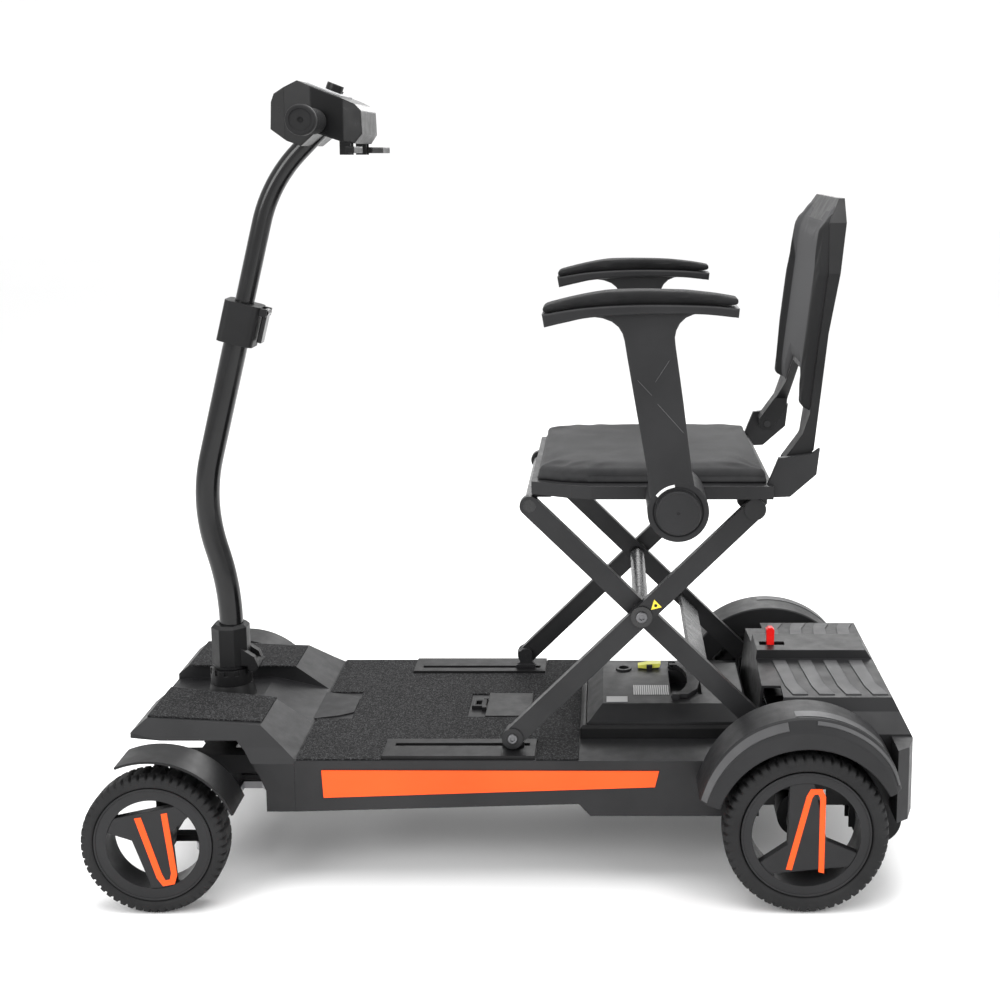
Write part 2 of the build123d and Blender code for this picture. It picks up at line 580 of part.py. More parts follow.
def guard_sweep(side):
    """Room that the mudguard needs as it turns about the kingpin."""
    outer_r = GUARD_R + GUARD_T + GUARD_GAP
    reach = GUARD_OUT + GUARD_GAP - KINGPIN_Y
    rim = [(hypot(outer_r * cos(radians(a)), reach), AXLE_Z + outer_r * sin(radians(a)))
           for a in (GUARD_REAR, 33.0, 44.0, 54.0, 64.0)]
    with BuildPart() as piece:
        with BuildSketch(Plane.XZ):
            with BuildLine():
                Polyline((0.0, 0.0), (rim[0][0], 0.0), *rim, (0.0, rim[-1][1]), close=True)
            make_face()
        revolve(axis=Axis.Z)
    return piece.part.moved(Location((FRONT_AXLE_X, side * KINGPIN_Y, 0.0)))


nose_outside = nose_block(0.0)
nose_inside = nose_block(NOSE_WALL)
valley_outside = nose_valley(0.0)
valley_inside = nose_valley(NOSE_WALL)
BEARING_R = 18.0
with BuildPart() as nose_hollow:
    add(nose_inside)
    add(valley_inside, mode=Mode.SUBTRACT)
with BuildPart() as front_cover:
    add(nose_outside)
    add(valley_outside, mode=Mode.SUBTRACT)
    add(nose_hollow.part, mode=Mode.SUBTRACT)
    add(post(COLUMN_X, 0.0, BEARING_R + SEAT_FIT, 0.0, FAR), mode=Mode.SUBTRACT)
    for side in (-1, 1):
        add(guard_sweep(side), mode=Mode.SUBTRACT)
        add(block(-FAR - 200.0, FAR, side * RAIL_Y - RAIL_SECTION / 2,
                  side * RAIL_Y + RAIL_SECTION / 2, RAIL_BOTTOM, RAIL_TOP), mode=Mode.SUBTRACT)
    # tongue that laps onto the deck
    add(plate(both_sides([(DECK_FRONT_X - 3.0, TONGUE_HALF + 10.0), (DECK_FRONT_X, TONGUE_HALF + 10.0),
                          (TONGUE_REAR_X - 18.0, TONGUE_HALF), (TONGUE_REAR_X, TONGUE_HALF - 12.0)]),
              DECK_TOP, DECK_TOP + MAT_T))
save(front_cover, "front_cover")

# ---------------------------------------------------------------- steering column and base
COLUMN_R = 12.5
JOURNAL_R = 15.0
RING_Z0 = BASE_Z + 17.0 + SLIDE_GAP
RING_Z1 = TILLER_HINGE_Z - 4.0 - SLIDE_GAP
RING_R = 28.0
FLANGE_R = 22.0
FLANGE_T = 5.0
FLANGE_Z0 = RING_Z1 + SLIDE_GAP
HINGE_R = 7.0
HINGE_PIN_R = 3.0
HINGE_HALF = 8.0
TILLER_HINGE_X = COLUMN_X + 34.0
HINGE_Z = FLANGE_Z0 + 4.0
SOCKET_Z0 = FLANGE_Z0 + FLANGE_T + SLIDE_GAP
SOCKET_Z1 = 290.0

with BuildPart() as base_cone:
    with BuildSketch(Plane.XY.offset(BASE_Z)) as foot_ring:
        with Locations((COLUMN_X, 0)):
            Circle(33.0)
    with BuildSketch(Plane.XY.offset(BASE_Z + 17.0)) as top_ring:
        with Locations((COLUMN_X, 0)):
            Circle(28.0)
    loft()
with BuildPart() as steering_base:
    add(base_cone.part)
    add(post(COLUMN_X, 0.0, BEARING_R, RAIL_BOTTOM, BASE_Z))
    add(block(COLUMN_X - 22.0, COLUMN_X + 22.0, -RAIL_Y + RAIL_SECTION / 2,
              RAIL_Y - RAIL_SECTION / 2, RAIL_BOTTOM, RAIL_TOP))
    add(post(COLUMN_X, 0.0, COLUMN_R + RUN, RAIL_BOTTOM - 1.0, BASE_Z + 18.0), mode=Mode.SUBTRACT)
save(steering_base, "steering_base")

with BuildPart() as steering_column:
    add(post(COLUMN_X, 0.0, COLUMN_R, ARM_Z0, RING_Z0))
    add(post(COLUMN_X, 0.0, JOURNAL_R, RING_Z0 - SLIDE_GAP + 0.1, FLANGE_Z0))
    add(post(COLUMN_X, 0.0, FLANGE_R, FLANGE_Z0, FLANGE_Z0 + FLANGE_T))
    add(block(COLUMN_X, COLUMN_X + STEER_ARM, -8.0, 8.0, ARM_Z0, ARM_Z1))
    add(post(COLUMN_X + STEER_ARM, 0.0, 10.0, ARM_Z0, ARM_Z1))
    add(post(COLUMN_X + STEER_ARM, 0.0, STEER_PIN_R + RUN, ARM_Z0 - 1.0, ARM_Z1 + 1.0),
        mode=Mode.SUBTRACT)
    add(block(COLUMN_X, TILLER_HINGE_X, -HINGE_HALF, HINGE_HALF, FLANGE_Z0, FLANGE_Z0 + FLANGE_T))
    add(cross_bar(TILLER_HINGE_X, HINGE_Z, HINGE_R, -HINGE_HALF, HINGE_HALF))
    add(cross_bar(TILLER_HINGE_X, HINGE_Z, HINGE_PIN_R, -18.0, 18.0))
save(steering_column, "steering_column")

# Castellated ring that locks the tiller hinge.
with BuildPart() as lock_ring:
    add(post(COLUMN_X, 0.0, RING_R, RING_Z0, RING_Z1))
    add(post(COLUMN_X, 0.0, JOURNAL_R + RUN, RING_Z0 - 1.0, RING_Z1 + 1.0), mode=Mode.SUBTRACT)
    with BuildSketch(Plane.XY.offset(RING_Z1 - 7.0)) as teeth:
        with Locations((COLUMN_X, 0)):
            with PolarLocations(RING_R, 12):
                Rectangle(4.0, 6.0)
    extrude(amount=8.0, mode=Mode.SUBTRACT)
save(lock_ring, "lock_ring")

# ---------------------------------------------------------------- tiller
TILLER_LEAN = 14.1           # degrees, slope of the long straight part of the tubes
SOCKET_HALF = 24.0
BEND_LOW = (COLUMN_X + 3.0, 338.0)
BEND_MID = (COLUMN_X - 31.0, 457.5)
LOWER_RUN = 266.0            # middle bend to the top end of the lower tube
slope = (sin(radians(TILLER_LEAN)), cos(radians(TILLER_LEAN)))


def along(distance):
    """Point on the tiller's long straight axis, measured from the middle bend."""
    return (BEND_MID[0] + slope[0] * distance, BEND_MID[1] + slope[1] * distance)


lower_top = along(LOWER_RUN)
INSERT = 95.0                # upper tube inside the lower one
LOW_BEND_R = 350.0
MID_BEND_R = 240.0
HIGH_BEND_R = 200.0
BEND_HIGH = along(LOWER_RUN + 175.0)
BAR_X = COLUMN_X + 151.4
BAR_Z = 961.0
BAR_R = 11.0


def tube(points, radius, bore, bend_radii):
    """Round tube along straight runs joined by bends, in the middle plane."""
    with BuildPart() as piece:
        with BuildLine(Plane.XZ) as path:
            FilletPolyline(*points, radius=bend_radii)
        start = path.line @ 0
        heading = path.line % 0
        with BuildSketch(Plane(origin=start, z_dir=heading)):
            Circle(radius)
            if bore:
                Circle(bore, mode=Mode.SUBTRACT)
        sweep(path=path.line)
    return piece.part


lower = tube([(COLUMN_X + 2.0, SOCKET_Z0 + 3.0), BEND_LOW, BEND_MID, lower_top],
             TUBE_R, TUBE_R - TUBE_WALL, [LOW_BEND_R, MID_BEND_R])
with BuildPart() as lower_tube:
    add(lower)
save(lower_tube, "lower_tube")

with BuildPart() as socket_shell:
    with BuildSketch(Plane.XY.offset(SOCKET_Z0)):
        with Locations((COLUMN_X + 1.0, 0)):
            RegularPolygon(SOCKET_HALF, 8, major_radius=False, rotation=22.5)
    extrude(amount=SOCKET_Z1 - SOCKET_Z0)
    chamfer(socket_shell.faces().sort_by(Axis.Z)[-1].edges(), length=4.0)
lower_solid = tube([(COLUMN_X + 2.0, SOCKET_Z0 + 3.0), BEND_LOW, BEND_MID], TUBE_R + SEAT_FIT,
                   0.0, [LOW_BEND_R])
with BuildPart() as tiller_socket:
    add(socket_shell.part)
    for side in (-1, 1):
        near_y = side * (HINGE_HALF + SLIDE_GAP)
        far_y = side * 18.0
        add(cross_bar(TILLER_HINGE_X, HINGE_Z, HINGE_R, near_y, far_y))
        add(slab([(COLUMN_X + 18.0, SOCKET_Z0), (TILLER_HINGE_X - 3.0, SOCKET_Z0),
                  (TILLER_HINGE_X, HINGE_Z), (TILLER_HINGE_X + HINGE_R, HINGE_Z),
                  (TILLER_HINGE_X + 2.0, SOCKET_Z0 + 12.0), (COLUMN_X + 18.0, SOCKET_Z0 + 24.0)],
                 near_y, far_y))
        add(cross_bar(TILLER_HINGE_X, HINGE_Z, HINGE_PIN_R + RUN, near_y, far_y),
            mode=Mode.SUBTRACT)
    add(lower_solid, mode=Mode.SUBTRACT)
save(tiller_socket, "tiller_socket")

# Clamp collar at the top of the lower tube; its cam lever hangs at the rear.
collar_plane = Plane(origin=(lower_top[0], 0, lower_top[1]), x_dir=(slope[1], 0, -slope[0]),
                     z_dir=(slope[0], 0, slope[1]))
COLLAR_BELOW = 42.0
COLLAR_ABOVE = 13.0
COLLAR_DEPTH = 50.0
COLLAR_W = 44.0
LEVER_PIVOT = 31.0           # rearward from the tube axis
LEVER_PIN_R = 2.5
with BuildPart() as collar:
    with BuildSketch(collar_plane.offset(-COLLAR_BELOW)):
        with Locations((1.0, 0)):
            RectangleRounded(COLLAR_DEPTH - 2.0, COLLAR_W, 9.0)
    extrude(amount=COLLAR_BELOW + COLLAR_ABOVE)
    with BuildSketch(collar_plane.offset(-COLLAR_BELOW)):
        Circle(TUBE_R + SEAT_FIT)
    extrude(amount=COLLAR_BELOW, mode=Mode.SUBTRACT)
    with BuildSketch(collar_plane):
        Circle(UPPER_TUBE_R + RUN)
    extrude(amount=COLLAR_ABOVE, mode=Mode.SUBTRACT)
    for side in (-1, 1):
        with BuildSketch(collar_plane.offset(2.0)):
            with Locations((LEVER_PIVOT - 4.0, side * 13.0)):
                Rectangle(14.0, 5.0)
        extrude(amount=10.0)
    with BuildSketch(Plane(origin=collar_plane.from_local_coords((LEVER_PIVOT, 15.5, 7.0)),
                           x_dir=(1, 0, 0), z_dir=(0, -1, 0))):
        Circle(LEVER_PIN_R)
    extrude(amount=31.0)
save(collar, "collar")

with BuildPart() as collar_lever:
    with BuildSketch(collar_plane.offset(-34.0)):
        with Locations((LEVER_PIVOT, 0)):
            RectangleRounded(6.5, 20.0, 2.0)
    extrude(amount=44.0)
    with BuildSketch(Plane(origin=collar_plane.from_local_coords((LEVER_PIVOT, 10.0, 7.0)),
                           x_dir=(1, 0, 0), z_dir=(0, -1, 0))) as cam:
        Circle(4.6)
    extrude(amount=20.0)
    with BuildSketch(Plane(origin=collar_plane.from_local_coords((LEVER_PIVOT, 10.5, 7.0)),
                           x_dir=(1, 0, 0), z_dir=(0, -1, 0))) as bore:
        Circle(LEVER_PIN_R + RUN)
    extrude(amount=21.0, mode=Mode.SUBTRACT)
save(collar_lever, "collar_lever")

# Upper tube with the cross bar for both grips welded to its end.
GRIP_IN = 80.0
GRIP_OUT = 165.0
upper = tube([along(LOWER_RUN - INSERT), BEND_HIGH, (BAR_X, BAR_Z)], UPPER_TUBE_R, 0.0,
             [HIGH_BEND_R])
with BuildPart() as upper_tube:
    add(upper)
    add(cross_bar(BAR_X, BAR_Z, BAR_R, -GRIP_OUT + 5.0, GRIP_OUT - 5.0))
save(upper_tube, "upper_tube")

# ---------------------------------------------------------------- control head
HEAD_HALF = 75.0
HEAD_WALL = 3.0
head_outline = [(BAR_X - 63.0, BAR_Z - 9.0), (BAR_X - 61.0, BAR_Z + 25.0), (BAR_X - 56.0, BAR_Z + 35.0),
                (BAR_X - 22.0, BAR_Z + 50.5), (BAR_X + 4.0, BAR_Z + 40.0), (BAR_X + 33.0, BAR_Z + 29.0),
                (BAR_X + 48.0, BAR_Z + 22.0), (BAR_X + 55.0, BAR_Z + 14.0), (BAR_X + 56.0, BAR_Z - 15.0),
                (BAR_X + 47.0, BAR_Z - 27.0), (BAR_X + 30.0, BAR_Z - 24.0), (BAR_X, BAR_Z - 14.0),
                (BAR_X - 19.0, BAR_Z - 30.0), (BAR_X - 37.0, BAR_Z - 24.0)]
head_plan = both_sides([(BAR_X - 63.0, 42.0), (BAR_X - 40.0, 66.0), (BAR_X - 5.0, HEAD_HALF),
                        (BAR_X + 35.0, HEAD_HALF), (BAR_X + 56.0, 60.0)])
head_side = slab(head_outline, -FAR, FAR)
head_plan_body = plate(head_plan, 800.0, 1100.0)
with BuildPart() as head_block:
    add(head_side)
    add(head_plan_body, mode=Mode.INTERSECT)
with BuildPart() as head_core:
    add(head_block.part)
    offset(amount=-HEAD_WALL, kind=Kind.INTERSECTION, mode=Mode.REPLACE)
LEVER_X = BAR_X + 36.0
LEVER_Z = BAR_Z - 35.0
LEVER_Y = 60.0
LEVER_HUB_W = 14.0
EAR_T = 3.0
EAR_GAP = 0.5
THUMB_PIN_R = 2.5
DASH_FRONT = (BAR_X - 19.0, BAR_Z + 49.3)
DASH_REAR = (BAR_X + 31.0, BAR_Z + 29.8)
DASH_T = 2.0
DASH_HALF = 52.0
dash_slope = Plane(origin=((DASH_FRONT[0] + DASH_REAR[0]) / 2, 0, (DASH_FRONT[1] + DASH_REAR[1]) / 2),
                   x_dir=(DASH_REAR[0] - DASH_FRONT[0], 0, DASH_REAR[1] - DASH_FRONT[1]),
                   z_dir=(DASH_FRONT[1] - DASH_REAR[1], 0, DASH_REAR[0] - DASH_FRONT[0]))
KNOB_R = 11.0
KNOB_H = 9.0
KNOB_STEM_R = 3.0
HORN_R = 6.5
HORN_Y = 34.0
HORN_TRAVEL = 2.0


def on_dash(u, v, radius, start, height, mode_plane=dash_slope):
    """Round piece square to the dash; u runs down the slope and v to the rider's right."""
    with BuildPart() as piece:
        with BuildSketch(mode_plane.offset(start)):
            with Locations((u, v)):
                Circle(radius)
        extrude(amount=height)
    return piece.part


with BuildPart() as head_shell:
    add(head_block.part)
    add(head_core.part, mode=Mode.SUBTRACT)
    add(rod(BEND_HIGH, (BAR_X, BAR_Z), UPPER_TUBE_R + SEAT_FIT), mode=Mode.SUBTRACT)
    add(cross_bar(BAR_X, BAR_Z, BAR_R + SEAT_FIT, -FAR, FAR), mode=Mode.SUBTRACT)
    # ears under the rear edge that carry the two levers
    for side in (-1, 1):
        for place in (LEVER_Y - LEVER_HUB_W / 2 - EAR_GAP - EAR_T, LEVER_Y + LEVER_HUB_W / 2 + EAR_GAP):
            ear_in = side * place
            ear_out = side * (place + EAR_T)
            add(slab([(LEVER_X - 7.0, LEVER_Z - 6.0), (LEVER_X + 7.0, LEVER_Z - 6.0),
                      (LEVER_X + 7.0, LEVER_Z + 11.0), (LEVER_X - 7.0, LEVER_Z + 12.5)],
                     ear_in, ear_out))
        add(cross_bar(LEVER_X, LEVER_Z, THUMB_PIN_R, side * (LEVER_Y - LEVER_HUB_W / 2 - 2.0),
                      side * (LEVER_Y + LEVER_HUB_W / 2 + 2.0)))
    # stems and wells for the knob and the horn button
    add(on_dash(4.0, 0.0, KNOB_STEM_R, -1.0, DASH_T + 1.0 + KNOB_H - 2.0))
    add(on_dash(4.0, HORN_Y, HORN_R + SLIDE_GAP, -HORN_TRAVEL - 3.0, 20.0), mode=Mode.SUBTRACT)
save(head_shell, "head_shell")

with BuildPart() as dash_panel:
    with BuildSketch(dash_slope.offset(SEAT_FIT)):
        RectangleRounded(44.0, DASH_HALF * 2, 8.0)
        with Locations((4.0, 0.0)):
            Circle(KNOB_STEM_R + RUN, mode=Mode.SUBTRACT)
        with Locations((4.0, HORN_Y)):
            Circle(HORN_R + SLIDE_GAP, mode=Mode.SUBTRACT)
    extrude(amount=DASH_T)
save(dash_panel, "dash_panel")

with BuildPart() as speed_knob:
    add(on_dash(4.0, 0.0, KNOB_R, SEAT_FIT + DASH_T + SLIDE_GAP, KNOB_H))
    add(on_dash(4.0, 0.0, KNOB_STEM_R + RUN, 0.0, DASH_T + KNOB_H - 1.6), mode=Mode.SUBTRACT)
save(speed_knob, "speed_knob")

with BuildPart() as horn_button:
    add(on_dash(4.0, HORN_Y, HORN_R, -1.0, DASH_T + 1.0 + HORN_TRAVEL + 1.0))
save(horn_button, "horn_button")


def thumb_lever(side, label):
    """Finger lever under a grip, on a pin between two ears of the control head."""
    hub_in = side * (LEVER_Y - LEVER_HUB_W / 2)
    hub_out = side * (LEVER_Y + LEVER_HUB_W / 2)
    with BuildPart() as piece:
        add(cross_bar(LEVER_X, LEVER_Z, 5.5, hub_in, hub_out))
        with BuildSketch(Plane.XY.offset(LEVER_Z - 4.0)):
            with BuildLine():
                Polyline((LEVER_X, hub_in), (LEVER_X + 14.0, hub_in), (LEVER_X + 24.0, side * 84.0),
                         (LEVER_X + 24.0, side * 146.0), (LEVER_X + 14.0, side * 150.0),
                         (LEVER_X + 10.0, side * 88.0), (LEVER_X + 8.5, hub_out),
                         (LEVER_X, hub_out), close=True)
            make_face()
        extrude(amount=8.0)
        add(cross_bar(LEVER_X, LEVER_Z, THUMB_PIN_R + RUN, hub_in, hub_out), mode=Mode.SUBTRACT)
    save(piece, label)


thumb_lever(-1, "brake_lever")
thumb_lever(1, "throttle_paddle")

with BuildPart() as grips:
    for side in (-1, 1):
        add(cross_bar(BAR_X, BAR_Z, 16.5, side * GRIP_IN, side * GRIP_OUT))
        add(cross_bar(BAR_X, BAR_Z, BAR_R + SEAT_FIT, side * (GRIP_IN - 1.0),
                      side * (GRIP_OUT - 5.0 + SEAT_FIT)), mode=Mode.SUBTRACT)
save(grips, "grips")

# ---------------------------------------------------------------- battery
BEZEL_T = 4.0
BEZEL_TOP = 187.0
HANDLE_X = PACK_FRONT_X + 118.0
HANDLE_HALF = 62.0
HANDLE_DEPTH = 22.0
HANDLE_T = 6.0
HANDLE_PIN_R = 2.5
HANDLE_Z = PACK_TOP + 3.6
HEEL_DIP = 2.2               # depth of the pockets under the handle's heels
CATCH_X = PACK_FRONT_X + 86.0
CATCH_Y = 58.0
CATCH_PIN_R = 2.0

with BuildPart() as battery_housing:
    add(block(DECK_REAR_X + 1.0, PACK_REAR_X + PACK_GAP + BEZEL_T - 1.0, -PACK_HALF - PACK_GAP - BEZEL_T,
              PACK_HALF + PACK_GAP + BEZEL_T, DECK_TOP, BEZEL_TOP))
    chamfer(battery_housing.faces().sort_by(Axis.Z)[-1].edges(), length=3.5)
    add(pack_well, mode=Mode.SUBTRACT)
save(battery_housing, "battery_housing")

pack_side = slab([(PACK_FRONT_X, RAIL_TOP), (PACK_REAR_X, RAIL_TOP), (PACK_REAR_X, PACK_TOP - 3.0),
                  (PACK_REAR_X - 3.0, PACK_TOP), (PACK_FRONT_X + 21.0, PACK_TOP),
                  (PACK_FRONT_X, PACK_TOP - 16.0)], -PACK_HALF, PACK_HALF)
pack_front = section(both_halves([(78.0, PACK_TOP), (PACK_HALF, PACK_TOP - 14.0),
                                  (PACK_HALF, RAIL_TOP)]), 0.0, FAR)
with BuildPart() as battery_pack:
    add(pack_side)
    add(pack_front, mode=Mode.INTERSECT)
    # hand well below the handle
    add(block(HANDLE_X - 6.0, HANDLE_X + HANDLE_DEPTH + 14.0, -46.0, 46.0, PACK_TOP - 18.0, PACK_TOP),
        mode=Mode.SUBTRACT)
    for side in (-1, 1):
        outer = side * HANDLE_HALF
        add(block(HANDLE_X - 5.0, HANDLE_X + 5.0, min(outer, outer + side * 4.0),
                  max(outer, outer + side * 4.0), PACK_TOP - 1.0, HANDLE_Z + 4.0))
        add(cross_bar(HANDLE_X, HANDLE_Z, HANDLE_PIN_R, outer - side * 7.0, outer))
        # room for the handle's heel as it tips up
        add(block(HANDLE_X - 5.5, HANDLE_X + 3.0, min(outer, outer - side * 11.0),
                  max(outer, outer - side * 11.0), PACK_TOP - HEEL_DIP, PACK_TOP),
            mode=Mode.SUBTRACT)
    # ears and pin of the release lever, and the socket of the charging lead
    for y in (CATCH_Y - 9.5, CATCH_Y + 6.5):
        add(block(CATCH_X - 4.0, CATCH_X + 4.0, y, y + 3.0, PACK_TOP - 1.0, PACK_TOP + 7.0))
    add(cross_bar(CATCH_X, PACK_TOP + 4.0, CATCH_PIN_R, CATCH_Y - 7.0, CATCH_Y + 7.0))
    add(post(PACK_FRONT_X + 50.0, 52.0, 11.0, PACK_TOP - 1.0, PACK_TOP + 2.5))
    add(post(PACK_FRONT_X + 50.0, 52.0, 7.0, PACK_TOP - 8.0, PACK_TOP + 3.0), mode=Mode.SUBTRACT)
save(battery_pack, "battery_pack")

with BuildPart() as battery_handle:
    with BuildSketch(Plane.XY.offset(PACK_TOP + SLIDE_GAP)):
        with BuildLine():
            Polyline(*both_sides([(HANDLE_X - 4.0, HANDLE_HALF - SLIDE_GAP),
                                  (HANDLE_X + HANDLE_DEPTH - 6.0, HANDLE_HALF - SLIDE_GAP),
                                  (HANDLE_X + HANDLE_DEPTH + 8.0, 40.0),
                                  (HANDLE_X + HANDLE_DEPTH + 12.0, 16.0)]), close=True)
        make_face()
        with BuildLine():
            Polyline(*both_sides([(HANDLE_X - 6.0, HANDLE_HALF - 10.0),
                                  (HANDLE_X + HANDLE_DEPTH - 16.0, HANDLE_HALF - 10.0),
                                  (HANDLE_X + HANDLE_DEPTH - 8.0, 34.0),
                                  (HANDLE_X + HANDLE_DEPTH - 4.0, 14.0)]), close=True)
        make_face(mode=Mode.SUBTRACT)
    extrude(amount=HANDLE_T)
    add(cross_bar(HANDLE_X, HANDLE_Z, HANDLE_PIN_R + RUN, -HANDLE_HALF, HANDLE_HALF),
        mode=Mode.SUBTRACT)
save(battery_handle, "battery_handle")

with BuildPart() as battery_lever:
    add(slab([(CATCH_X - 4.0, PACK_TOP + SLIDE_GAP), (CATCH_X + 14.0, PACK_TOP + SLIDE_GAP + 2.0),
              (CATCH_X + 16.0, PACK_TOP + 8.0), (CATCH_X - 2.0, PACK_TOP + 7.5),
              (CATCH_X - 16.0, PACK_TOP + 5.0), (CATCH_X - 16.0, PACK_TOP + 2.0)],
             CATCH_Y - 6.0, CATCH_Y + 6.0))
    add(cross_bar(CATCH_X, PACK_TOP + 4.0, CATCH_PIN_R + RUN, CATCH_Y - 7.0, CATCH_Y + 7.0),
        mode=Mode.SUBTRACT)
save(battery_lever, "battery_lever")

# ---------------------------------------------------------------- rear cover, fenders and drive
COVER_HALF = DECK_HALF
COVER_FLOOR_Z = 112.0
RIDGE_TOP = 262.0
RIDGE_HALF = 33.0
BUMPER_HALF = 232.0
BUMPER_X = TAIL_X - 26.0
COVER_FRONT_X = DECK_BODY_REAR_X + 1.0
WHEEL_Z = REAR_TYRE_R
MOTOR_R = 30.0
BLADE_X = HEEL_X + 16.4
BLADE_Z = 240.0
BLADE_Y = -5.0
BLADE_HALF = 5.0
BLADE_PIN_R = 2.5


def cover_block(inset):
    """Faceted block of the rear cover, smaller all round by the inset and open below."""
    drop = 60.0 if inset else 0.0
    outline = [(COVER_FRONT_X + inset, COVER_FLOOR_Z - drop), (COVER_FRONT_X + inset, DECK_TOP),
               (COVER_FRONT_X + 9.0 + inset, RIDGE_TOP - inset), (TAIL_X - 33.7, RIDGE_TOP - inset),
               (TAIL_X - 18.7 - inset, 240.0 - inset), (TAIL_X - inset, 203.0),
               (TAIL_X - inset, COVER_FLOOR_Z - drop)]
    front = both_halves([(RIDGE_HALF - inset, RIDGE_TOP + 5.0 - inset),
                         (RIDGE_HALF - inset, 250.0 - inset), (150.0 - inset, 240.0 - inset),
                         (157.0 - inset, 224.0 - inset), (COVER_HALF - inset, 205.0 - inset),
                         (COVER_HALF - inset, 20.0)])
    side_body = slab(outline, -FAR, FAR)
    front_body = section(front, 0.0, FAR + 300.0)
    with BuildPart() as piece:
        add(side_body)
        add(front_body, mode=Mode.INTERSECT)
    return piece.part


cover_outside = cover_block(0.0)
cover_inside = cover_block(3.0)
bumper = plate(both_sides([(BUMPER_X, BUMPER_HALF), (TAIL_X - 10.0, BUMPER_HALF - 12.0),
                           (TAIL_X, COVER_HALF + 5.0)]), COVER_FLOOR_Z - 2.0, 203.0)
bumper_inside = plate(both_sides([(BUMPER_X + 3.0, BUMPER_HALF - 4.0),
                                  (TAIL_X - 12.0, BUMPER_HALF - 14.0),
                                  (TAIL_X - 3.0, COVER_HALF + 4.0)]), 40.0, 200.0)
with BuildPart() as rear_cover:
    add(cover_outside)
    add(bumper)
    add(cover_inside, mode=Mode.SUBTRACT)
    add(bumper_inside, mode=Mode.SUBTRACT)
    # room for the drive motors, the rear bar, the inner legs and the freewheel lever
    add(block(REAR_AXLE_X - MOTOR_R - 2.0, REAR_AXLE_X + MOTOR_R + 2.0, -COVER_HALF - 1.0,
              COVER_HALF + 1.0, 0.0, WHEEL_Z + MOTOR_R + 1.0), mode=Mode.SUBTRACT)
    add(block(0.0, HEEL_X + 15.0, -DECK_INNER_HALF - 1.0, DECK_INNER_HALF + 1.0, 0.0,
              DECK_SOFFIT + 0.3), mode=Mode.SUBTRACT)
    for side in (-1, 1):
        add(block(0.0, HEEL_X + 18.0, min(side * 116.0, side * 168.0), max(side * 116.0, side * 168.0),
                  DECK_SOFFIT, FAR), mode=Mode.SUBTRACT)
    add(block(BLADE_X - 15.0, BLADE_X + 19.0, BLADE_Y - BLADE_HALF - 2.0, BLADE_Y + BLADE_HALF + 2.0,
              RIDGE_TOP - 8.0, RIDGE_TOP + 5.0), mode=Mode.SUBTRACT)
    for y in (BLADE_Y - BLADE_HALF - SLIDE_GAP - 4.0, BLADE_Y + BLADE_HALF + SLIDE_GAP):
        add(block(BLADE_X - 6.0, BLADE_X + 6.0, y, y + 4.0, BLADE_Z - 6.0, RIDGE_TOP - 2.0))
    add(cross_bar(BLADE_X, BLADE_Z, BLADE_PIN_R, BLADE_Y - 8.0, BLADE_Y + 8.0))
save(rear_cover, "rear_cover")

with BuildPart() as freewheel_lever:
    add(slab([(BLADE_X - 4.0, BLADE_Z - 4.0), (BLADE_X + 4.0, BLADE_Z - 4.0),
              (BLADE_X + 5.0, BLADE_Z + 42.0), (BLADE_X + 2.0, BLADE_Z + 45.0),
              (BLADE_X - 3.0, BLADE_Z + 45.0), (BLADE_X - 6.0, BLADE_Z + 42.0)],
             BLADE_Y - BLADE_HALF, BLADE_Y + BLADE_HALF))
    add(cross_bar(BLADE_X, BLADE_Z, BLADE_PIN_R + RUN, BLADE_Y - 8.0, BLADE_Y + 8.0),
        mode=Mode.SUBTRACT)
save(freewheel_lever, "freewheel_lever")


def fender_point(angle, radius):
    """Point round the rear axle."""
    return (REAR_AXLE_X + radius * cos(radians(angle)), WHEEL_Z + radius * sin(radians(angle)))


FENDER_INNER_R = REAR_TYRE_R + 10.5
fender_outside = [fender_point(a, r) for a, r in ((28.0, 124.0), (40.0, 138.0), (60.0, 146.0),
                                                  (75.0, 149.0), (90.0, 150.0), (105.0, 150.0),
                                                  (120.0, 149.0), (140.0, 144.0), (161.0, 138.0))]
fender_outline = fender_outside + [fender_point(161.0 - 133.0 / 24 * step, FENDER_INNER_R)
                                   for step in range(25)]
with BuildPart() as rear_fenders:
    for side in (-1, 1):
        add(slab(fender_outline, side * (COVER_HALF + SEAT_FIT), side * 255.0))
    chamfer(rear_fenders.edges().filter_by(Axis.Y, reverse=True).filter_by(
        lambda e: abs(abs(e.center().Y) - 255.0) < 0.1
        and Vector(e.center().X - REAR_AXLE_X, e.center().Z - WHEEL_Z, 0).length > 122.0), length=9.0)
save(rear_fenders, "rear_fenders")

with BuildPart() as drive_motors:
    for side in (-1, 1):
        inner = side * (RAIL_Y + RAIL_SECTION / 2 + SEAT_FIT)
        add(cross_bar(REAR_AXLE_X, WHEEL_Z, MOTOR_R, inner, side * 190.0))
        add(cross_bar(REAR_AXLE_X, WHEEL_Z, DRIVE_SHAFT_R, side * 190.0, side * (TYRE_FACE_Y - 10.0)))
        add(block(REAR_AXLE_X - 26.0, REAR_AXLE_X + 26.0, min(inner, side * 112.0),
                  max(inner, side * 112.0), RAIL_BOTTOM, RAIL_TOP))
    # controller on top of the frame, behind the axle
    add(block(REAR_AXLE_X + 12.0, REAR_AXLE_X + 74.0, -RAIL_Y - 6.0, RAIL_Y + 6.0, RAIL_TOP,
              RAIL_TOP + 45.0))
save(drive_motors, "drive_motors")

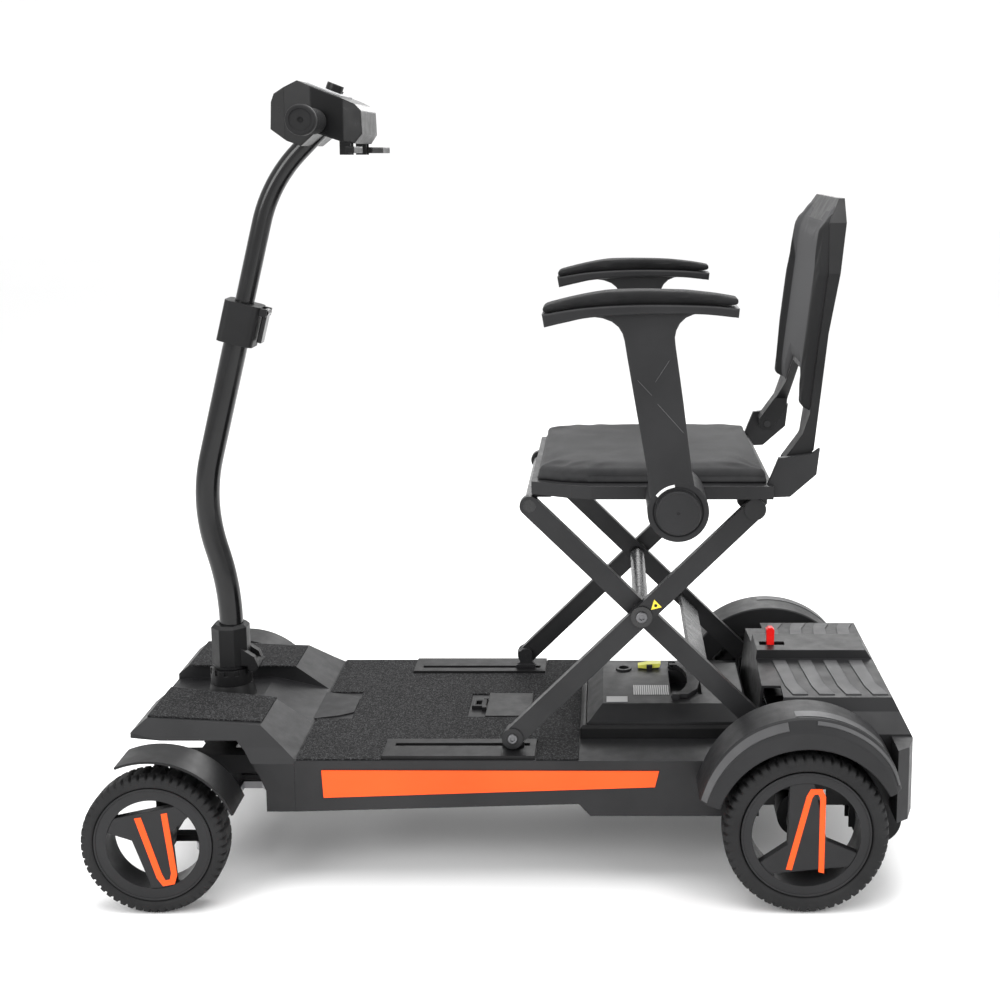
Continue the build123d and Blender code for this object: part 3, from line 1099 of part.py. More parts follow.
# ---------------------------------------------------------------- scissor legs
HEEL = (HEEL_X, HEEL_Z)
TOE = (TOE_X, HEEL_Z)
CROSS = (CROSS_X, CROSS_Z)
SEAT_PIVOT = (SEAT_PIVOT_X, SEAT_PIVOT_Z)
CATCH = (SEAT_CATCH_X, SEAT_PIVOT_Z)
TUBE_PIVOT_R = 8.0
CROSS_R = 10.0
TOE_PIN_R = 4.0
CAP_R = 13.5
OUTER_FACE_Y = OUTER_LEG_Y + LEG_T
INNER_FACE_Y = INNER_LEG_Y + LEG_T
CAP_T = 2.0

with BuildPart() as outer_legs:
    for side in (-1, 1):
        near_y = side * OUTER_LEG_Y
        far_y = side * OUTER_FACE_Y
        add(bar_between(TOE, SEAT_PIVOT, LEG_DEPTH, near_y, far_y))
        add(cross_bar(CROSS_X, CROSS_Z, CROSS_R + RUN, near_y, far_y), mode=Mode.SUBTRACT)
        add(cross_bar(SEAT_PIVOT_X, SEAT_PIVOT_Z, TUBE_PIVOT_R + SEAT_FIT, near_y, far_y),
            mode=Mode.SUBTRACT)
        add(cross_bar(TOE_X, HEEL_Z, TOE_PIN_R + SEAT_FIT, near_y, far_y), mode=Mode.SUBTRACT)
save(outer_legs, "outer_legs")

with BuildPart() as outer_leg_pins:
    add(cross_bar(SEAT_PIVOT_X, SEAT_PIVOT_Z, TUBE_PIVOT_R, -OUTER_FACE_Y, OUTER_FACE_Y))
    for side in (-1, 1):
        face = side * OUTER_FACE_Y
        add(cross_bar(SEAT_PIVOT_X, SEAT_PIVOT_Z, CAP_R, face, face + side * CAP_T))
        add(cross_bar(TOE_X, HEEL_Z, TOE_PIN_R, side * 143.0, face))
        add(cross_bar(TOE_X, HEEL_Z, CAP_R, face, face + side * CAP_T))
save(outer_leg_pins, "outer_leg_pins")

with BuildPart() as inner_legs:
    for side in (-1, 1):
        near_y = side * INNER_LEG_Y
        far_y = side * INNER_FACE_Y
        add(bar_between(HEEL, CATCH, LEG_DEPTH, near_y, far_y))
        for place, radius in ((HEEL, HEEL_TUBE_R), (CROSS, CROSS_R), (CATCH, TUBE_PIVOT_R)):
            add(cross_bar(place[0], place[1], radius + SEAT_FIT, near_y, far_y), mode=Mode.SUBTRACT)
save(inner_legs, "inner_legs")

BRACE_REACH = 125.0          # from the fixed pivot to the flat brace
BRACE_LENGTH = 34.0
BRACE_T = 5.0
brace_mid = (HEEL_X - BRACE_REACH * cos(radians(SCISSOR_DEG)),
             HEEL_Z + BRACE_REACH * sin(radians(SCISSOR_DEG)))
with BuildPart() as inner_leg_shafts:
    add(cross_bar(HEEL_X, HEEL_Z, HEEL_TUBE_R, -INNER_FACE_Y, INNER_FACE_Y))
    add(cross_bar(SEAT_CATCH_X, SEAT_PIVOT_Z, TUBE_PIVOT_R, -INNER_FACE_Y, INNER_FACE_Y))
    add(cross_bar(CROSS_X, CROSS_Z, CROSS_R, -OUTER_FACE_Y - SLIDE_GAP, OUTER_FACE_Y + SLIDE_GAP))
    for side in (-1, 1):
        face = side * (OUTER_FACE_Y + SLIDE_GAP)
        add(cross_bar(CROSS_X, CROSS_Z, CAP_R, face, face + side * CAP_T))
        # washer that keeps the two legs apart
        add(cross_bar(CROSS_X, CROSS_Z, CAP_R, side * (INNER_FACE_Y + SEAT_FIT),
                      side * (OUTER_LEG_Y - SLIDE_GAP)))
    with BuildSketch(Plane(origin=(brace_mid[0], 0, brace_mid[1]), x_dir=(0, 1, 0),
                           z_dir=(sin(radians(SCISSOR_DEG)), 0, cos(radians(SCISSOR_DEG))))):
        Rectangle((INNER_LEG_Y - SEAT_FIT) * 2, BRACE_LENGTH)
    extrude(amount=BRACE_T / 2, both=True)
save(inner_leg_shafts, "inner_leg_shafts")

FOOT_LUG_IN = 143.0
FOOT_LUG_OUT = OUTER_LEG_Y - 0.3
with BuildPart() as foot_blocks:
    for side in (-1, 1):
        lug_in = side * FOOT_LUG_IN
        lug_out = side * FOOT_LUG_OUT
        add(slab([(TOE_X - 14.0, GUIDE_TOP + 0.3), (TOE_X + 14.0, GUIDE_TOP + 0.3),
                  (TOE_X + 14.0, 180.0), (TOE_X + 9.0, 182.0), (TOE_X + 9.0, HEEL_Z + 8.0),
                  (TOE_X + 5.0, HEEL_Z + 12.0), (TOE_X - 5.0, HEEL_Z + 12.0),
                  (TOE_X - 9.0, HEEL_Z + 8.0), (TOE_X - 9.0, 182.0), (TOE_X - 14.0, 180.0)],
                 lug_in, lug_out))
        add(block(TOE_X - 14.0, TOE_X + 14.0, min(side * 138.0, lug_in), max(side * 138.0, lug_in),
                  GUIDE_TOP + 0.3, 180.0))
        add(block(TOE_X - 10.0, TOE_X + 10.0, side * FOOT_Y - SLOT_HALF + SLIDE_GAP,
                  side * FOOT_Y + SLOT_HALF - SLIDE_GAP, DECK_TOP + SLIDE_GAP, GUIDE_TOP + 0.3))
        add(cross_bar(TOE_X, HEEL_Z, TOE_PIN_R + RUN, lug_in, lug_out), mode=Mode.SUBTRACT)
save(foot_blocks, "foot_blocks")

# ---------------------------------------------------------------- seat
ARM_TUBE_R = 6.5
BACK_PIN_R = 5.0
CHEEK_IN = 159.0
CHEEK_OUT = 167.0
SEAT_BASE_TOP = SEAT_BOTTOM + SEAT_BASE_T
BRACKET_IN = 118.0
BRACKET_OUT = 131.0
ARM_TUBE_END = 262.0

seat_plan = both_sides([(SEAT_FRONT_X, SEAT_HALF - 30.0), (SEAT_FRONT_X + 50.0, SEAT_HALF - 6.0),
                        (SEAT_FRONT_X + 75.0, SEAT_HALF), (SEAT_REAR_X, SEAT_HALF)])
seat_plan_inner = both_sides([(SEAT_FRONT_X + 3.0, SEAT_HALF - 34.0),
                              (SEAT_FRONT_X + 52.0, SEAT_HALF - 9.0),
                              (SEAT_FRONT_X + 76.0, SEAT_HALF - 3.0),
                              (SEAT_REAR_X - 3.0, SEAT_HALF - 3.0)])
seat_hollow = plate(seat_plan_inner, SEAT_BOTTOM - 1.0, SEAT_BASE_TOP - 3.0)
with BuildPart() as seat_base:
    add(plate(seat_plan, SEAT_BOTTOM, SEAT_BASE_TOP))
    add(seat_hollow, mode=Mode.SUBTRACT)
    add(cross_bar(ARM_HUB_X, ARM_HUB_Z, ARM_TUBE_R, -ARM_TUBE_END, ARM_TUBE_END))
    for side in (-1, 1):
        # solid pads inside the tub over the two leg brackets
        add(block(SEAT_PIVOT_X - 19.0, SEAT_PIVOT_X + 18.0, min(side * BRACKET_IN, side * BRACKET_OUT),
                  max(side * BRACKET_IN, side * BRACKET_OUT), SEAT_BOTTOM, SEAT_BASE_TOP))
        add(block(SEAT_FRONT_X + 1.0, SEAT_FRONT_X + 24.0, min(side * BRACKET_IN, side * BRACKET_OUT),
                  max(side * BRACKET_IN, side * BRACKET_OUT), SEAT_BOTTOM, SEAT_BASE_TOP))
        # cheek and pin of the backrest hinge
        add(slab([(BACK_HINGE_X - 17.3, 553.0), (BACK_HINGE_X + 22.8, 558.0),
                  (BACK_HINGE_X + 32.6, 565.0), (BACK_HINGE_X + 29.0, 532.6),
                  (BACK_HINGE_X - 2.8, 504.6), (BACK_HINGE_X - 37.1, SEAT_BOTTOM)],
                 side * CHEEK_IN, side * CHEEK_OUT))
        add(cross_bar(BACK_HINGE_X, BACK_HINGE_Z, BACK_PIN_R, side * 128.0, side * CHEEK_OUT))
save(seat_base, "seat_base")

with BuildPart() as seat_brackets:
    for side in (-1, 1):
        near_y = side * BRACKET_IN
        far_y = side * BRACKET_OUT
        add(slab([(SEAT_PIVOT_X - 19.0, SEAT_BOTTOM), (SEAT_PIVOT_X - 19.0, SEAT_PIVOT_Z),
                  (SEAT_PIVOT_X - 10.0, SEAT_PIVOT_Z - 10.0), (SEAT_PIVOT_X + 10.0, SEAT_PIVOT_Z - 10.0),
                  (SEAT_PIVOT_X + 18.0, SEAT_PIVOT_Z), (SEAT_PIVOT_X + 18.0, SEAT_BOTTOM)],
                 near_y, far_y))
        add(cross_bar(SEAT_PIVOT_X, SEAT_PIVOT_Z, TUBE_PIVOT_R + RUN, near_y, far_y),
            mode=Mode.SUBTRACT)
        add(block(SEAT_FRONT_X + 1.0, SEAT_FRONT_X + 24.0, min(near_y, far_y), max(near_y, far_y),
                  SEAT_PIVOT_Z + TUBE_PIVOT_R + SLIDE_GAP, SEAT_BOTTOM))
save(seat_brackets, "seat_brackets")

CUSHION_HALF = 156.0
with BuildPart() as seat_cushion:
    add(plate(both_sides([(SEAT_FRONT_X + 7.0, CUSHION_HALF - 22.0), (SEAT_FRONT_X + 40.0, CUSHION_HALF - 6.0),
                          (SEAT_FRONT_X + 70.0, CUSHION_HALF), (SEAT_REAR_X - 6.0, CUSHION_HALF)]),
              SEAT_BASE_TOP, SEAT_TOP))
    fillet(seat_cushion.faces().sort_by(Axis.Z)[-1].edges(), radius=7.0)
save(seat_cushion, "seat_cushion")

# ---------------------------------------------------------------- backrest
BACK_FACE = [(379.2, 606.0), (380.0, 614.0), (385.0, 662.0), (399.0, 781.0), (400.4, 806.0)]
BACK_BOLSTER = [(368.0, 608.0), (374.5, 659.0), (381.5, 725.0), (387.0, 776.0), (391.0, 800.0)]
back_side = slab([(BACK_HINGE_X - 11.0, BACK_HINGE_Z - 4.0), (BACK_HINGE_X - 11.0, BACK_HINGE_Z + 8.0),
                  (BACK_HINGE_X + 12.0, 581.0)] + BACK_FACE +
                 [(402.5, 838.0), (418.0, BACK_TOP), (425.0, BACK_TOP), (423.5, 838.0), (400.0, 705.0),
                  (385.0, 562.0), (BACK_HINGE_X + 11.5, BACK_HINGE_Z), (BACK_HINGE_X + 7.0, BACK_HINGE_Z - 8.5),
                  (BACK_HINGE_X - 6.0, BACK_HINGE_Z - 9.5)], -FAR, FAR)
BACK_LEG_IN = 129.0
BACK_LEG_OUT = CHEEK_IN - 0.5
back_front = section(both_halves([(100.0, BACK_TOP), (130.0, 838.0), (BACK_LEG_OUT, 778.0),
                                  (BACK_LEG_OUT, 500.0), (BACK_LEG_IN, 500.0), (BACK_LEG_IN, 578.0),
                                  (47.0, 645.0)]), 0.0, 600.0)
with BuildPart() as backrest_frame:
    add(back_side)
    add(back_front, mode=Mode.INTERSECT)
    add(cross_bar(BACK_HINGE_X, BACK_HINGE_Z, BACK_PIN_R + RUN, -FAR, FAR), mode=Mode.SUBTRACT)
save(backrest_frame, "backrest_frame")

FACE_PAD_T = 3.0
BOLSTER_IN = 118.0
pad_base = [(x - FACE_PAD_T, z) for x, z in BACK_FACE]
with BuildPart() as backrest_cushion:
    add(slab(BACK_FACE + list(reversed(pad_base)), -150.0, 150.0))
    for side in (-1, 1):
        add(slab(BACK_FACE + list(reversed(BACK_BOLSTER)), side * BOLSTER_IN, side * 154.0))
    add(section(both_halves([(130.0, 838.0), (154.0, 778.0), (154.0, 560.0), (140.0, 560.0),
                             (47.0, 650.0)]), 0.0, 600.0), mode=Mode.INTERSECT)
save(backrest_cushion, "backrest_cushion")


# ---------------------------------------------------------------- armrests
ARM_HUB_R = 36.0
ARM_IN = 180.0
ARM_OUT = ARM_POST_Y + ARM_POST_T
DIAL_R = 28.0
DIAL_OUT = ARM_OUT + 8.0
PAD_Y = 254.0


def armrest(side, post_label, pad_label):
    """Armrest hinged on the tube across the seat: housing, post, dial and pad."""
    with BuildPart() as piece:
        add(cross_bar(ARM_HUB_X, ARM_HUB_Z, ARM_HUB_R, side * ARM_IN, side * ARM_OUT))
        add(slab([(ARM_HUB_X - 30.0, ARM_HUB_Z - 16.0), (ARM_HUB_X - 8.0, ARM_HUB_Z - 35.5),
                  (ARM_HUB_X + 8.0, ARM_HUB_Z - 35.5), (ARM_HUB_X + 30.0, ARM_HUB_Z - 16.0)],
                 side * ARM_IN, side * ARM_OUT))
        add(slab([(148.0, 715.0), (209.0, 715.0), (231.0, 545.0), (232.0, 520.0), (190.0, 520.0),
                  (178.0, 545.0)], side * ARM_POST_Y, side * ARM_OUT))
        # carrier plate under the pad
        add(slab([(104.0, 735.0), (104.0, 729.0), (148.0, 712.0), (209.0, 712.0), (250.0, 729.0),
                  (250.0, 735.0)], side * ARM_POST_Y, side * ARM_OUT))
        add(cross_bar(ARM_HUB_X, ARM_HUB_Z, DIAL_R, side * ARM_OUT, side * DIAL_OUT))
        add(cross_bar(ARM_HUB_X, ARM_HUB_Z, ARM_TUBE_R + RUN, side * (ARM_IN - 1.0),
                      side * (ARM_TUBE_END + 1.0)), mode=Mode.SUBTRACT)
    save(piece, post_label)

    with BuildPart() as pad:
        add(slab([(ARM_HUB_X - 158.3, 742.0), (ARM_HUB_X - 140.0, 735.0), (ARM_HUB_X + 55.0, 735.0),
                  (ARM_HUB_X + 68.6, 741.0), (ARM_HUB_X + 68.6, 757.0), (ARM_HUB_X + 60.0, 764.0),
                  (ARM_HUB_X - 150.0, 768.0), (ARM_HUB_X - 158.3, 761.0)],
                 side * (PAD_Y - ARM_PAD_W / 2), side * (PAD_Y + ARM_PAD_W / 2)))
        fillet(pad.edges().filter_by(lambda e: abs(e.center().Z - 766.0) < 1.5
                                     and e.length > 100.0), radius=6.0)
    save(pad, pad_label)


armrest(-1, "armrest_post_left", "armrest_pad_left")
armrest(1, "armrest_post_right", "armrest_pad_right")
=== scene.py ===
"""Folding mobility scooter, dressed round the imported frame. Metres, front to -X, up +Z."""

import math

import bmesh
import bpy
import numpy as np
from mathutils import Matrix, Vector


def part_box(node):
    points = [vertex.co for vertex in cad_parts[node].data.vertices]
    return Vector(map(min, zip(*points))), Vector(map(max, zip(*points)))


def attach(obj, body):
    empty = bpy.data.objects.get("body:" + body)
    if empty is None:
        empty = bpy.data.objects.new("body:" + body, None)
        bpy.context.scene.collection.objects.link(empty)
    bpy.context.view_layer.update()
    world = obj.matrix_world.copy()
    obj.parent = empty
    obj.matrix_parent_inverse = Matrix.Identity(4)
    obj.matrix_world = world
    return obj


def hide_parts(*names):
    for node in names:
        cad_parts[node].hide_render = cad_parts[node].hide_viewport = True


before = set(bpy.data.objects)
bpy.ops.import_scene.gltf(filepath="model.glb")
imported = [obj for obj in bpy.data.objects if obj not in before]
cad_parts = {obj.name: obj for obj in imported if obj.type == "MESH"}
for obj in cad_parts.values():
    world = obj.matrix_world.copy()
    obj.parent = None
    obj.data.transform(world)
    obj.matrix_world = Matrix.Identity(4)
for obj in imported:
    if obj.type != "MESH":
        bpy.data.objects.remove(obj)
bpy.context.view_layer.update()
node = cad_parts
MM = 0.001


# ------------------------------------------------------------ view, floor and light
# The scooter stands on a seamless white sheet, lit by one wide soft light from above and
# large side panels, and is seen from its left side a little above seat height.
EYE = (0.1333, -1.931, 0.921)
LOOK_DOWN = math.radians(8.74)
camera_data = bpy.data.cameras.new("view")
camera_data.lens = 52.92
camera_data.sensor_width = 36.0
camera_data.shift_x = -0.109
camera_data.shift_y = -0.12
camera = bpy.data.objects.new("view", camera_data)
camera.location = EYE
camera.rotation_euler = (math.pi / 2 - LOOK_DOWN, 0.0, 0.0)
bpy.context.scene.collection.objects.link(camera)
bpy.context.scene.camera = camera
bpy.context.scene.view_settings.view_transform = "Standard"


def soft_light(name, place, aim, size, power):
    """Square area light that points from its place at the aim point."""
    data = bpy.data.lights.new(name, "AREA")
    data.size = size
    data.energy = power
    made = bpy.data.objects.new(name, data)
    made.location = place
    made.rotation_mode = "QUATERNION"
    made.rotation_quaternion = (Vector(aim) - Vector(place)).to_track_quat("-Z", "Y")
    bpy.context.scene.collection.objects.link(made)


soft_light("overhead", (0.0, -0.3, 3.0), (0.0, 0.0, 0.3), 2.6, 78.0)
soft_light("front_left", (-2.2, -2.4, 1.9), (0.0, 0.0, 0.4), 1.4, 46.0)
soft_light("rear_left", (2.6, -1.8, 1.5), (0.1, 0.0, 0.4), 1.2, 26.0)
soft_light("back_rim", (0.6, 2.6, 2.2), (0.1, 0.0, 0.5), 1.6, 40.0)

sky = bpy.data.worlds.new("studio")
sky.use_nodes = True
sky.node_tree.nodes["Background"].inputs["Color"].default_value = (1.0, 1.0, 1.0, 1.0)
sky.node_tree.nodes["Background"].inputs["Strength"].default_value = 1.0
bpy.context.scene.world = sky


def shade(name, **values):
    """New material with its main shader's sockets set; returns it, its nodes and its shader."""
    made = bpy.data.materials.new(name)
    made.use_nodes = True
    tree = made.node_tree
    shader = tree.nodes["Principled BSDF"]
    for socket, value in values.items():
        shader.inputs[socket.replace("_", " ")].default_value = value
    return made, tree, shader


def solid(name, points, faces, outward=True):
    """Linked object from points and faces; a closed one has its normals turned outward."""
    mesh = bpy.data.meshes.new(name)
    mesh.from_pydata(points, [], faces)
    mesh.update()
    if outward:
        shell = bmesh.new()
        shell.from_mesh(mesh)
        bmesh.ops.recalc_face_normals(shell, faces=shell.faces)
        shell.to_mesh(mesh)
        shell.free()
    made = bpy.data.objects.new(name, mesh)
    bpy.context.scene.collection.objects.link(made)
    return made


def skin(name, points, around=False, closed=False, capped=False, smooth=True):
    """Mesh over a grid of points (rows, columns, xyz).

    Neighbouring grid points make quads; around joins the last column to the first, closed
    joins the last row to the first, and capped fills the first and last rows with flat faces.
    """
    points = np.asarray(points, float)
    rows, cols = points.shape[:2]
    index = np.arange(rows * cols).reshape(rows, cols)
    r = np.arange(rows if closed else rows - 1)
    c = np.arange(cols if around else cols - 1)
    rr, cc = np.meshgrid(r, c, indexing="ij")
    r2, c2 = (rr + 1) % rows, (cc + 1) % cols
    faces = np.stack([index[rr, cc], index[rr, c2], index[r2, c2], index[r2, cc]], -1)
    faces = faces.reshape(-1, 4).tolist()
    sides = len(faces)
    if capped:
        faces += [index[0, ::-1].tolist(), index[-1].tolist()]
    made = solid(name, points.reshape(-1, 3), faces, outward=capped or (around and closed))
    rounded = np.full(len(faces), smooth)
    rounded[sides:] = False
    made.data.polygons.foreach_set("use_smooth", rounded)
    made.data.update()
    return made


def dress(piece, material, body=None, instead_of=()):
    """Gives a piece its material, body and material slot, and hides the CAD nodes it stands for."""
    piece.data.materials.clear()
    piece.data.materials.append(material)
    if body:
        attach(piece, body)
    if instead_of:
        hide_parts(*instead_of)
    return piece


# The floor is one wide sheet that curves up far behind the scooter.
FLOOR_HALF, FLOOR_FRONT, FLOOR_BACK, FLOOR_RISE = 9.0, -5.0, 7.0, 5.0
across = np.linspace(-FLOOR_HALF, FLOOR_HALF, 3)
run = np.linspace(0.0, 1.0, 40)
floor_y = FLOOR_FRONT + (FLOOR_BACK - FLOOR_FRONT) * np.minimum(run / 0.7, 1.0)
floor_z = FLOOR_RISE * np.clip((run - 0.5) / 0.5, 0.0, 1.0) ** 3
floor = skin("floor", np.stack(np.broadcast_arrays(across[None, :], floor_y[:, None],
                                                   floor_z[:, None]), -1))
pale, _, _ = shade("pale_floor", Base_Color=(0.94, 0.94, 0.94, 1.0), Roughness=0.7)
dress(floor, pale)


# ------------------------------------------------------------ steel frame and axles
# Square tubes welded to cross bars, axle beam and motor brackets, all powder coated satin
# black. The steering rod is bright zinc-plated steel.
def uneven(tree, low, high, scale):
    """Noise over the piece's own coordinates, remapped between two values; returns its socket."""
    place = tree.nodes.new("ShaderNodeTexCoord")
    noise = tree.nodes.new("ShaderNodeTexNoise")
    noise.inputs["Scale"].default_value = scale
    noise.inputs["Detail"].default_value = 4.0
    spread = tree.nodes.new("ShaderNodeMapRange")
    spread.inputs["From Min"].default_value = 0.3
    spread.inputs["From Max"].default_value = 0.7
    spread.inputs["To Min"].default_value = low
    spread.inputs["To Max"].default_value = high
    tree.links.new(place.outputs["Object"], noise.inputs["Vector"])
    tree.links.new(noise.outputs["Fac"], spread.inputs["Value"])
    return spread.outputs["Result"]


def tinted(tree, fac, dark, light):
    """Colour that runs from dark to light with a factor; returns its output socket."""
    mix = tree.nodes.new("ShaderNodeMix")
    mix.data_type = "RGBA"
    mix.inputs["A"].default_value = (*dark, 1.0)
    mix.inputs["B"].default_value = (*light, 1.0)
    tree.links.new(fac, mix.inputs["Factor"])
    return mix.outputs["Result"]


def rough_skin(tree, shader, scale, depth, edge=0.0008):
    """Fine surface texture: noise as a bump of the given depth, on edges rounded by edge metres."""
    place = tree.nodes.new("ShaderNodeTexCoord")
    grain = tree.nodes.new("ShaderNodeTexNoise")
    grain.inputs["Scale"].default_value = scale
    grain.inputs["Detail"].default_value = 3.0
    bump = tree.nodes.new("ShaderNodeBump")
    bump.inputs["Strength"].default_value = 0.6
    bump.inputs["Distance"].default_value = depth
    soft = tree.nodes.new("ShaderNodeBevel")
    soft.samples = 4
    soft.inputs["Radius"].default_value = edge
    tree.links.new(place.outputs["Object"], grain.inputs["Vector"])
    tree.links.new(grain.outputs["Fac"], bump.inputs["Height"])
    tree.links.new(soft.outputs["Normal"], bump.inputs["Normal"])
    tree.links.new(bump.outputs["Normal"], shader.inputs["Normal"])


def coating(name, dark, light, rough, grain=900.0, depth=0.0001, edge=0.0008, blotch=14.0,
            **values):
    """Paint or moulded plastic: two close tones in soft patches, uneven gloss and a fine grain."""
    values.setdefault("Specular_IOR_Level", 0.22)
    made, tree, shader = shade(name, **values)
    patches = uneven(tree, 0.0, 1.0, blotch)
    tree.links.new(tinted(tree, patches, dark, light), shader.inputs["Base Color"])
    tree.links.new(uneven(tree, rough[0], rough[1], 60.0), shader.inputs["Roughness"])
    rough_skin(tree, shader, grain, depth, edge)
    return made


powder_coat = coating("powder_coat", (0.005, 0.005, 0.0055), (0.010, 0.010, 0.011), (0.42, 0.55))
zinc = coating("zinc_plate", (0.30, 0.30, 0.31), (0.42, 0.42, 0.43), (0.28, 0.42), Metallic=1.0)
for name in ("frame_rails", "cross_members", "front_axle", "drive_motors", "steering_column"):
    dress(node[name], powder_coat)
dress(node["tie_rod"], zinc)


# ------------------------------------------------------------ deck
# Moulded charcoal tub with a flat pan screwed underneath. Its long sides carry an orange
# strip, and the slotted guide rails and the fold latch are screwed to its top.
charcoal = coating("charcoal_plastic", (0.013, 0.013, 0.0138), (0.020, 0.020, 0.021), (0.40, 0.52),
                   grain=1400.0, depth=0.00012, edge=0.0012, blotch=9.0)
black_plastic = coating("black_plastic", (0.005, 0.005, 0.0054), (0.010, 0.010, 0.0105),
                        (0.38, 0.50), grain=1400.0, depth=0.0001, edge=0.001)
orange_trim = coating("orange_trim", (0.88, 0.075, 0.008), (0.95, 0.10, 0.013), (0.28, 0.36),
                      grain=500.0, depth=0.00004, edge=0.0006, blotch=5.0)
dress(node["deck_body"], charcoal)
dress(node["belly_pan"], black_plastic)
dress(node["deck_rails"], black_plastic)
dress(node["deck_latch"], black_plastic)
dress(node["latch_loop"], powder_coat)
dress(node["side_strips"], orange_trim)


def screw(name, x, y, z, radius, side, body):
    """Round screw head with a sunk hexagon on a piece's side face.

    A radius-height profile carried round the screw's own line; the innermost rows are pulled
    to a hexagon: the radius over the cosine of the angle to the nearest flat's middle.
    """
    turn = np.linspace(0.0, 2 * np.pi, 48, endpoint=False)
    flats = np.abs((turn + np.pi / 6) % (np.pi / 3) - np.pi / 6)
    hexagon = 0.5 * np.cos(np.pi / 6) / np.cos(flats)
    rows = [(1.0, 0.0, 0), (1.0, 0.18, 0), (0.93, 0.3, 0), (0.8, 0.36, 0), (0.0, 0.36, 1),
            (0.0, 0.08, 1)]
    ring = np.array([np.where(flag, hexagon, r) * radius for r, _, flag in rows])
    height = np.array([h for _, h, _ in rows])[:, None] * radius * np.ones_like(turn)
    grid = np.stack([x + ring * np.cos(turn), y + side * height, z + ring * np.sin(turn)], -1)
    piece = skin(name, grid, around=True, capped=True, smooth=False)
    return dress(piece, dark_steel, body)


dark_steel = coating("dark_steel", (0.10, 0.10, 0.105), (0.16, 0.16, 0.165), (0.25, 0.35),
                     Metallic=1.0)


# ------------------------------------------------------------ anti-slip mats
# Black sheets with a coarse mineral grit, glued in shallow recesses of the deck and the nose.
grit, grit_tree, grit_shader = shade("grit_mat", Roughness=0.85, Specular_IOR_Level=0.15)
speck_place = grit_tree.nodes.new("ShaderNodeTexCoord")
specks = grit_tree.nodes.new("ShaderNodeTexVoronoi")
specks.inputs["Scale"].default_value = 900.0
speck_pick = grit_tree.nodes.new("ShaderNodeMapRange")
speck_pick.inputs["From Min"].default_value = 0.62
speck_pick.inputs["From Max"].default_value = 0.95
speck_split = grit_tree.nodes.new("ShaderNodeSeparateColor")
grit_tree.links.new(speck_place.outputs["Object"], specks.inputs["Vector"])
grit_tree.links.new(specks.outputs["Color"], speck_split.inputs["Color"])
grit_tree.links.new(speck_split.outputs["Red"], speck_pick.inputs["Value"])
grit_tree.links.new(tinted(grit_tree, speck_pick.outputs["Result"], (0.008, 0.008, 0.0084),
                           (0.060, 0.060, 0.062)), grit_shader.inputs["Base Color"])
rough_skin(grit_tree, grit_shader, 900.0, 0.0009)
dress(node["grip_mats"], grit)


# ------------------------------------------------------------ nose
# Faceted charcoal moulding over the front axle, open below. A red rubber stop shows under
# each side of it, over the mudguard.
dress(node["front_cover"], charcoal)
RIM_STEPS = 4          # rows round each rim of a flat piece
SHARPEST = 0.35        # keeps the drawn-in point of a sharp corner near its corner


def both_y(side, near, far):
    """The y of two distances in mm from the middle plane, in rising order."""
    return sorted((side * near * MM, side * far * MM))


def plate(name, outline, low, high, edge, space=None):
    """Flat piece with rounded rims: a closed outline carried through its thickness.

    The outline is drawn in along its own normals at both faces, by a quarter circle of radius
    edge. Without space the outline is x and z and the thickness runs along y.
    """
    outline = np.asarray(outline, float)
    after, before = np.roll(outline, -1, 0), np.roll(outline, 1, 0)
    area = np.sum(outline[:, 0] * after[:, 1] - after[:, 0] * outline[:, 1])
    lead = (after - outline) / np.linalg.norm(after - outline, axis=1, keepdims=True)
    trail = (outline - before) / np.linalg.norm(outline - before, axis=1, keepdims=True)
    sum_of = lead + trail
    normal = np.stack([-sum_of[:, 1], sum_of[:, 0]], 1) * np.sign(area)
    normal /= np.maximum(np.sum(normal * normal, 1, keepdims=True) / 2.0, SHARPEST)
    bend = np.linspace(0.0, np.pi / 2, RIM_STEPS)
    draw = edge * np.concatenate([1 - np.sin(bend), (1 - np.sin(bend))[::-1]])
    drop = edge * (1 - np.cos(bend))
    level = np.concatenate([low + drop, high - drop[::-1]])
    flat = outline[None] + normal[None] * draw[:, None, None]
    a, b = flat[..., 0], flat[..., 1]
    t = np.broadcast_to(level[:, None], a.shape)
    grid = np.stack([a, t, b], -1) if space is None else space(a, b, t)
    return skin(name, grid, around=True, capped=True, smooth=False)


def spread_out(points, count):
    """Points spaced evenly along a smooth line through the given ones (Catmull-Rom)."""
    points = np.asarray(points, float)
    padded = np.vstack([2 * points[0] - points[1], points, 2 * points[-1] - points[-2]])
    t = np.linspace(0.0, len(points) - 1.0, count)
    k = np.minimum(t.astype(int), len(points) - 2)
    s = (t - k)[:, None]
    p0, p1, p2, p3 = (padded[k + i] for i in range(4))
    return 0.5 * (2 * p1 + (p2 - p0) * s + (2 * p0 - 5 * p1 + 4 * p2 - p3) * s ** 2
                  + (3 * p1 - p0 - 3 * p2 + p3) * s ** 3)


red = coating("red_plastic", (0.82, 0.010, 0.010), (0.92, 0.018, 0.015), (0.25, 0.35))
deep_red = coating("red_rubber", (0.30, 0.004, 0.012), (0.42, 0.008, 0.02), (0.25, 0.35))
SIDES = ((-1, "left"), (1, "right"))
STOP_AT, STOP_HALF_LENGTH, STOP_HALF_HEIGHT = np.array((-415.0, 193.0)), 14.0, 3.4
stop_turn = np.linspace(0.0, 2 * np.pi, 28, endpoint=False)
stop = STOP_AT + np.stack([STOP_HALF_LENGTH * np.cos(stop_turn),
                           STOP_HALF_HEIGHT * np.sin(stop_turn)], 1)
for side, hand in SIDES:
    dress(plate(f"nose_stop_{hand}", stop * MM, *both_y(side, 150.0, 157.0), edge=1.5 * MM),
          deep_red, "chassis")


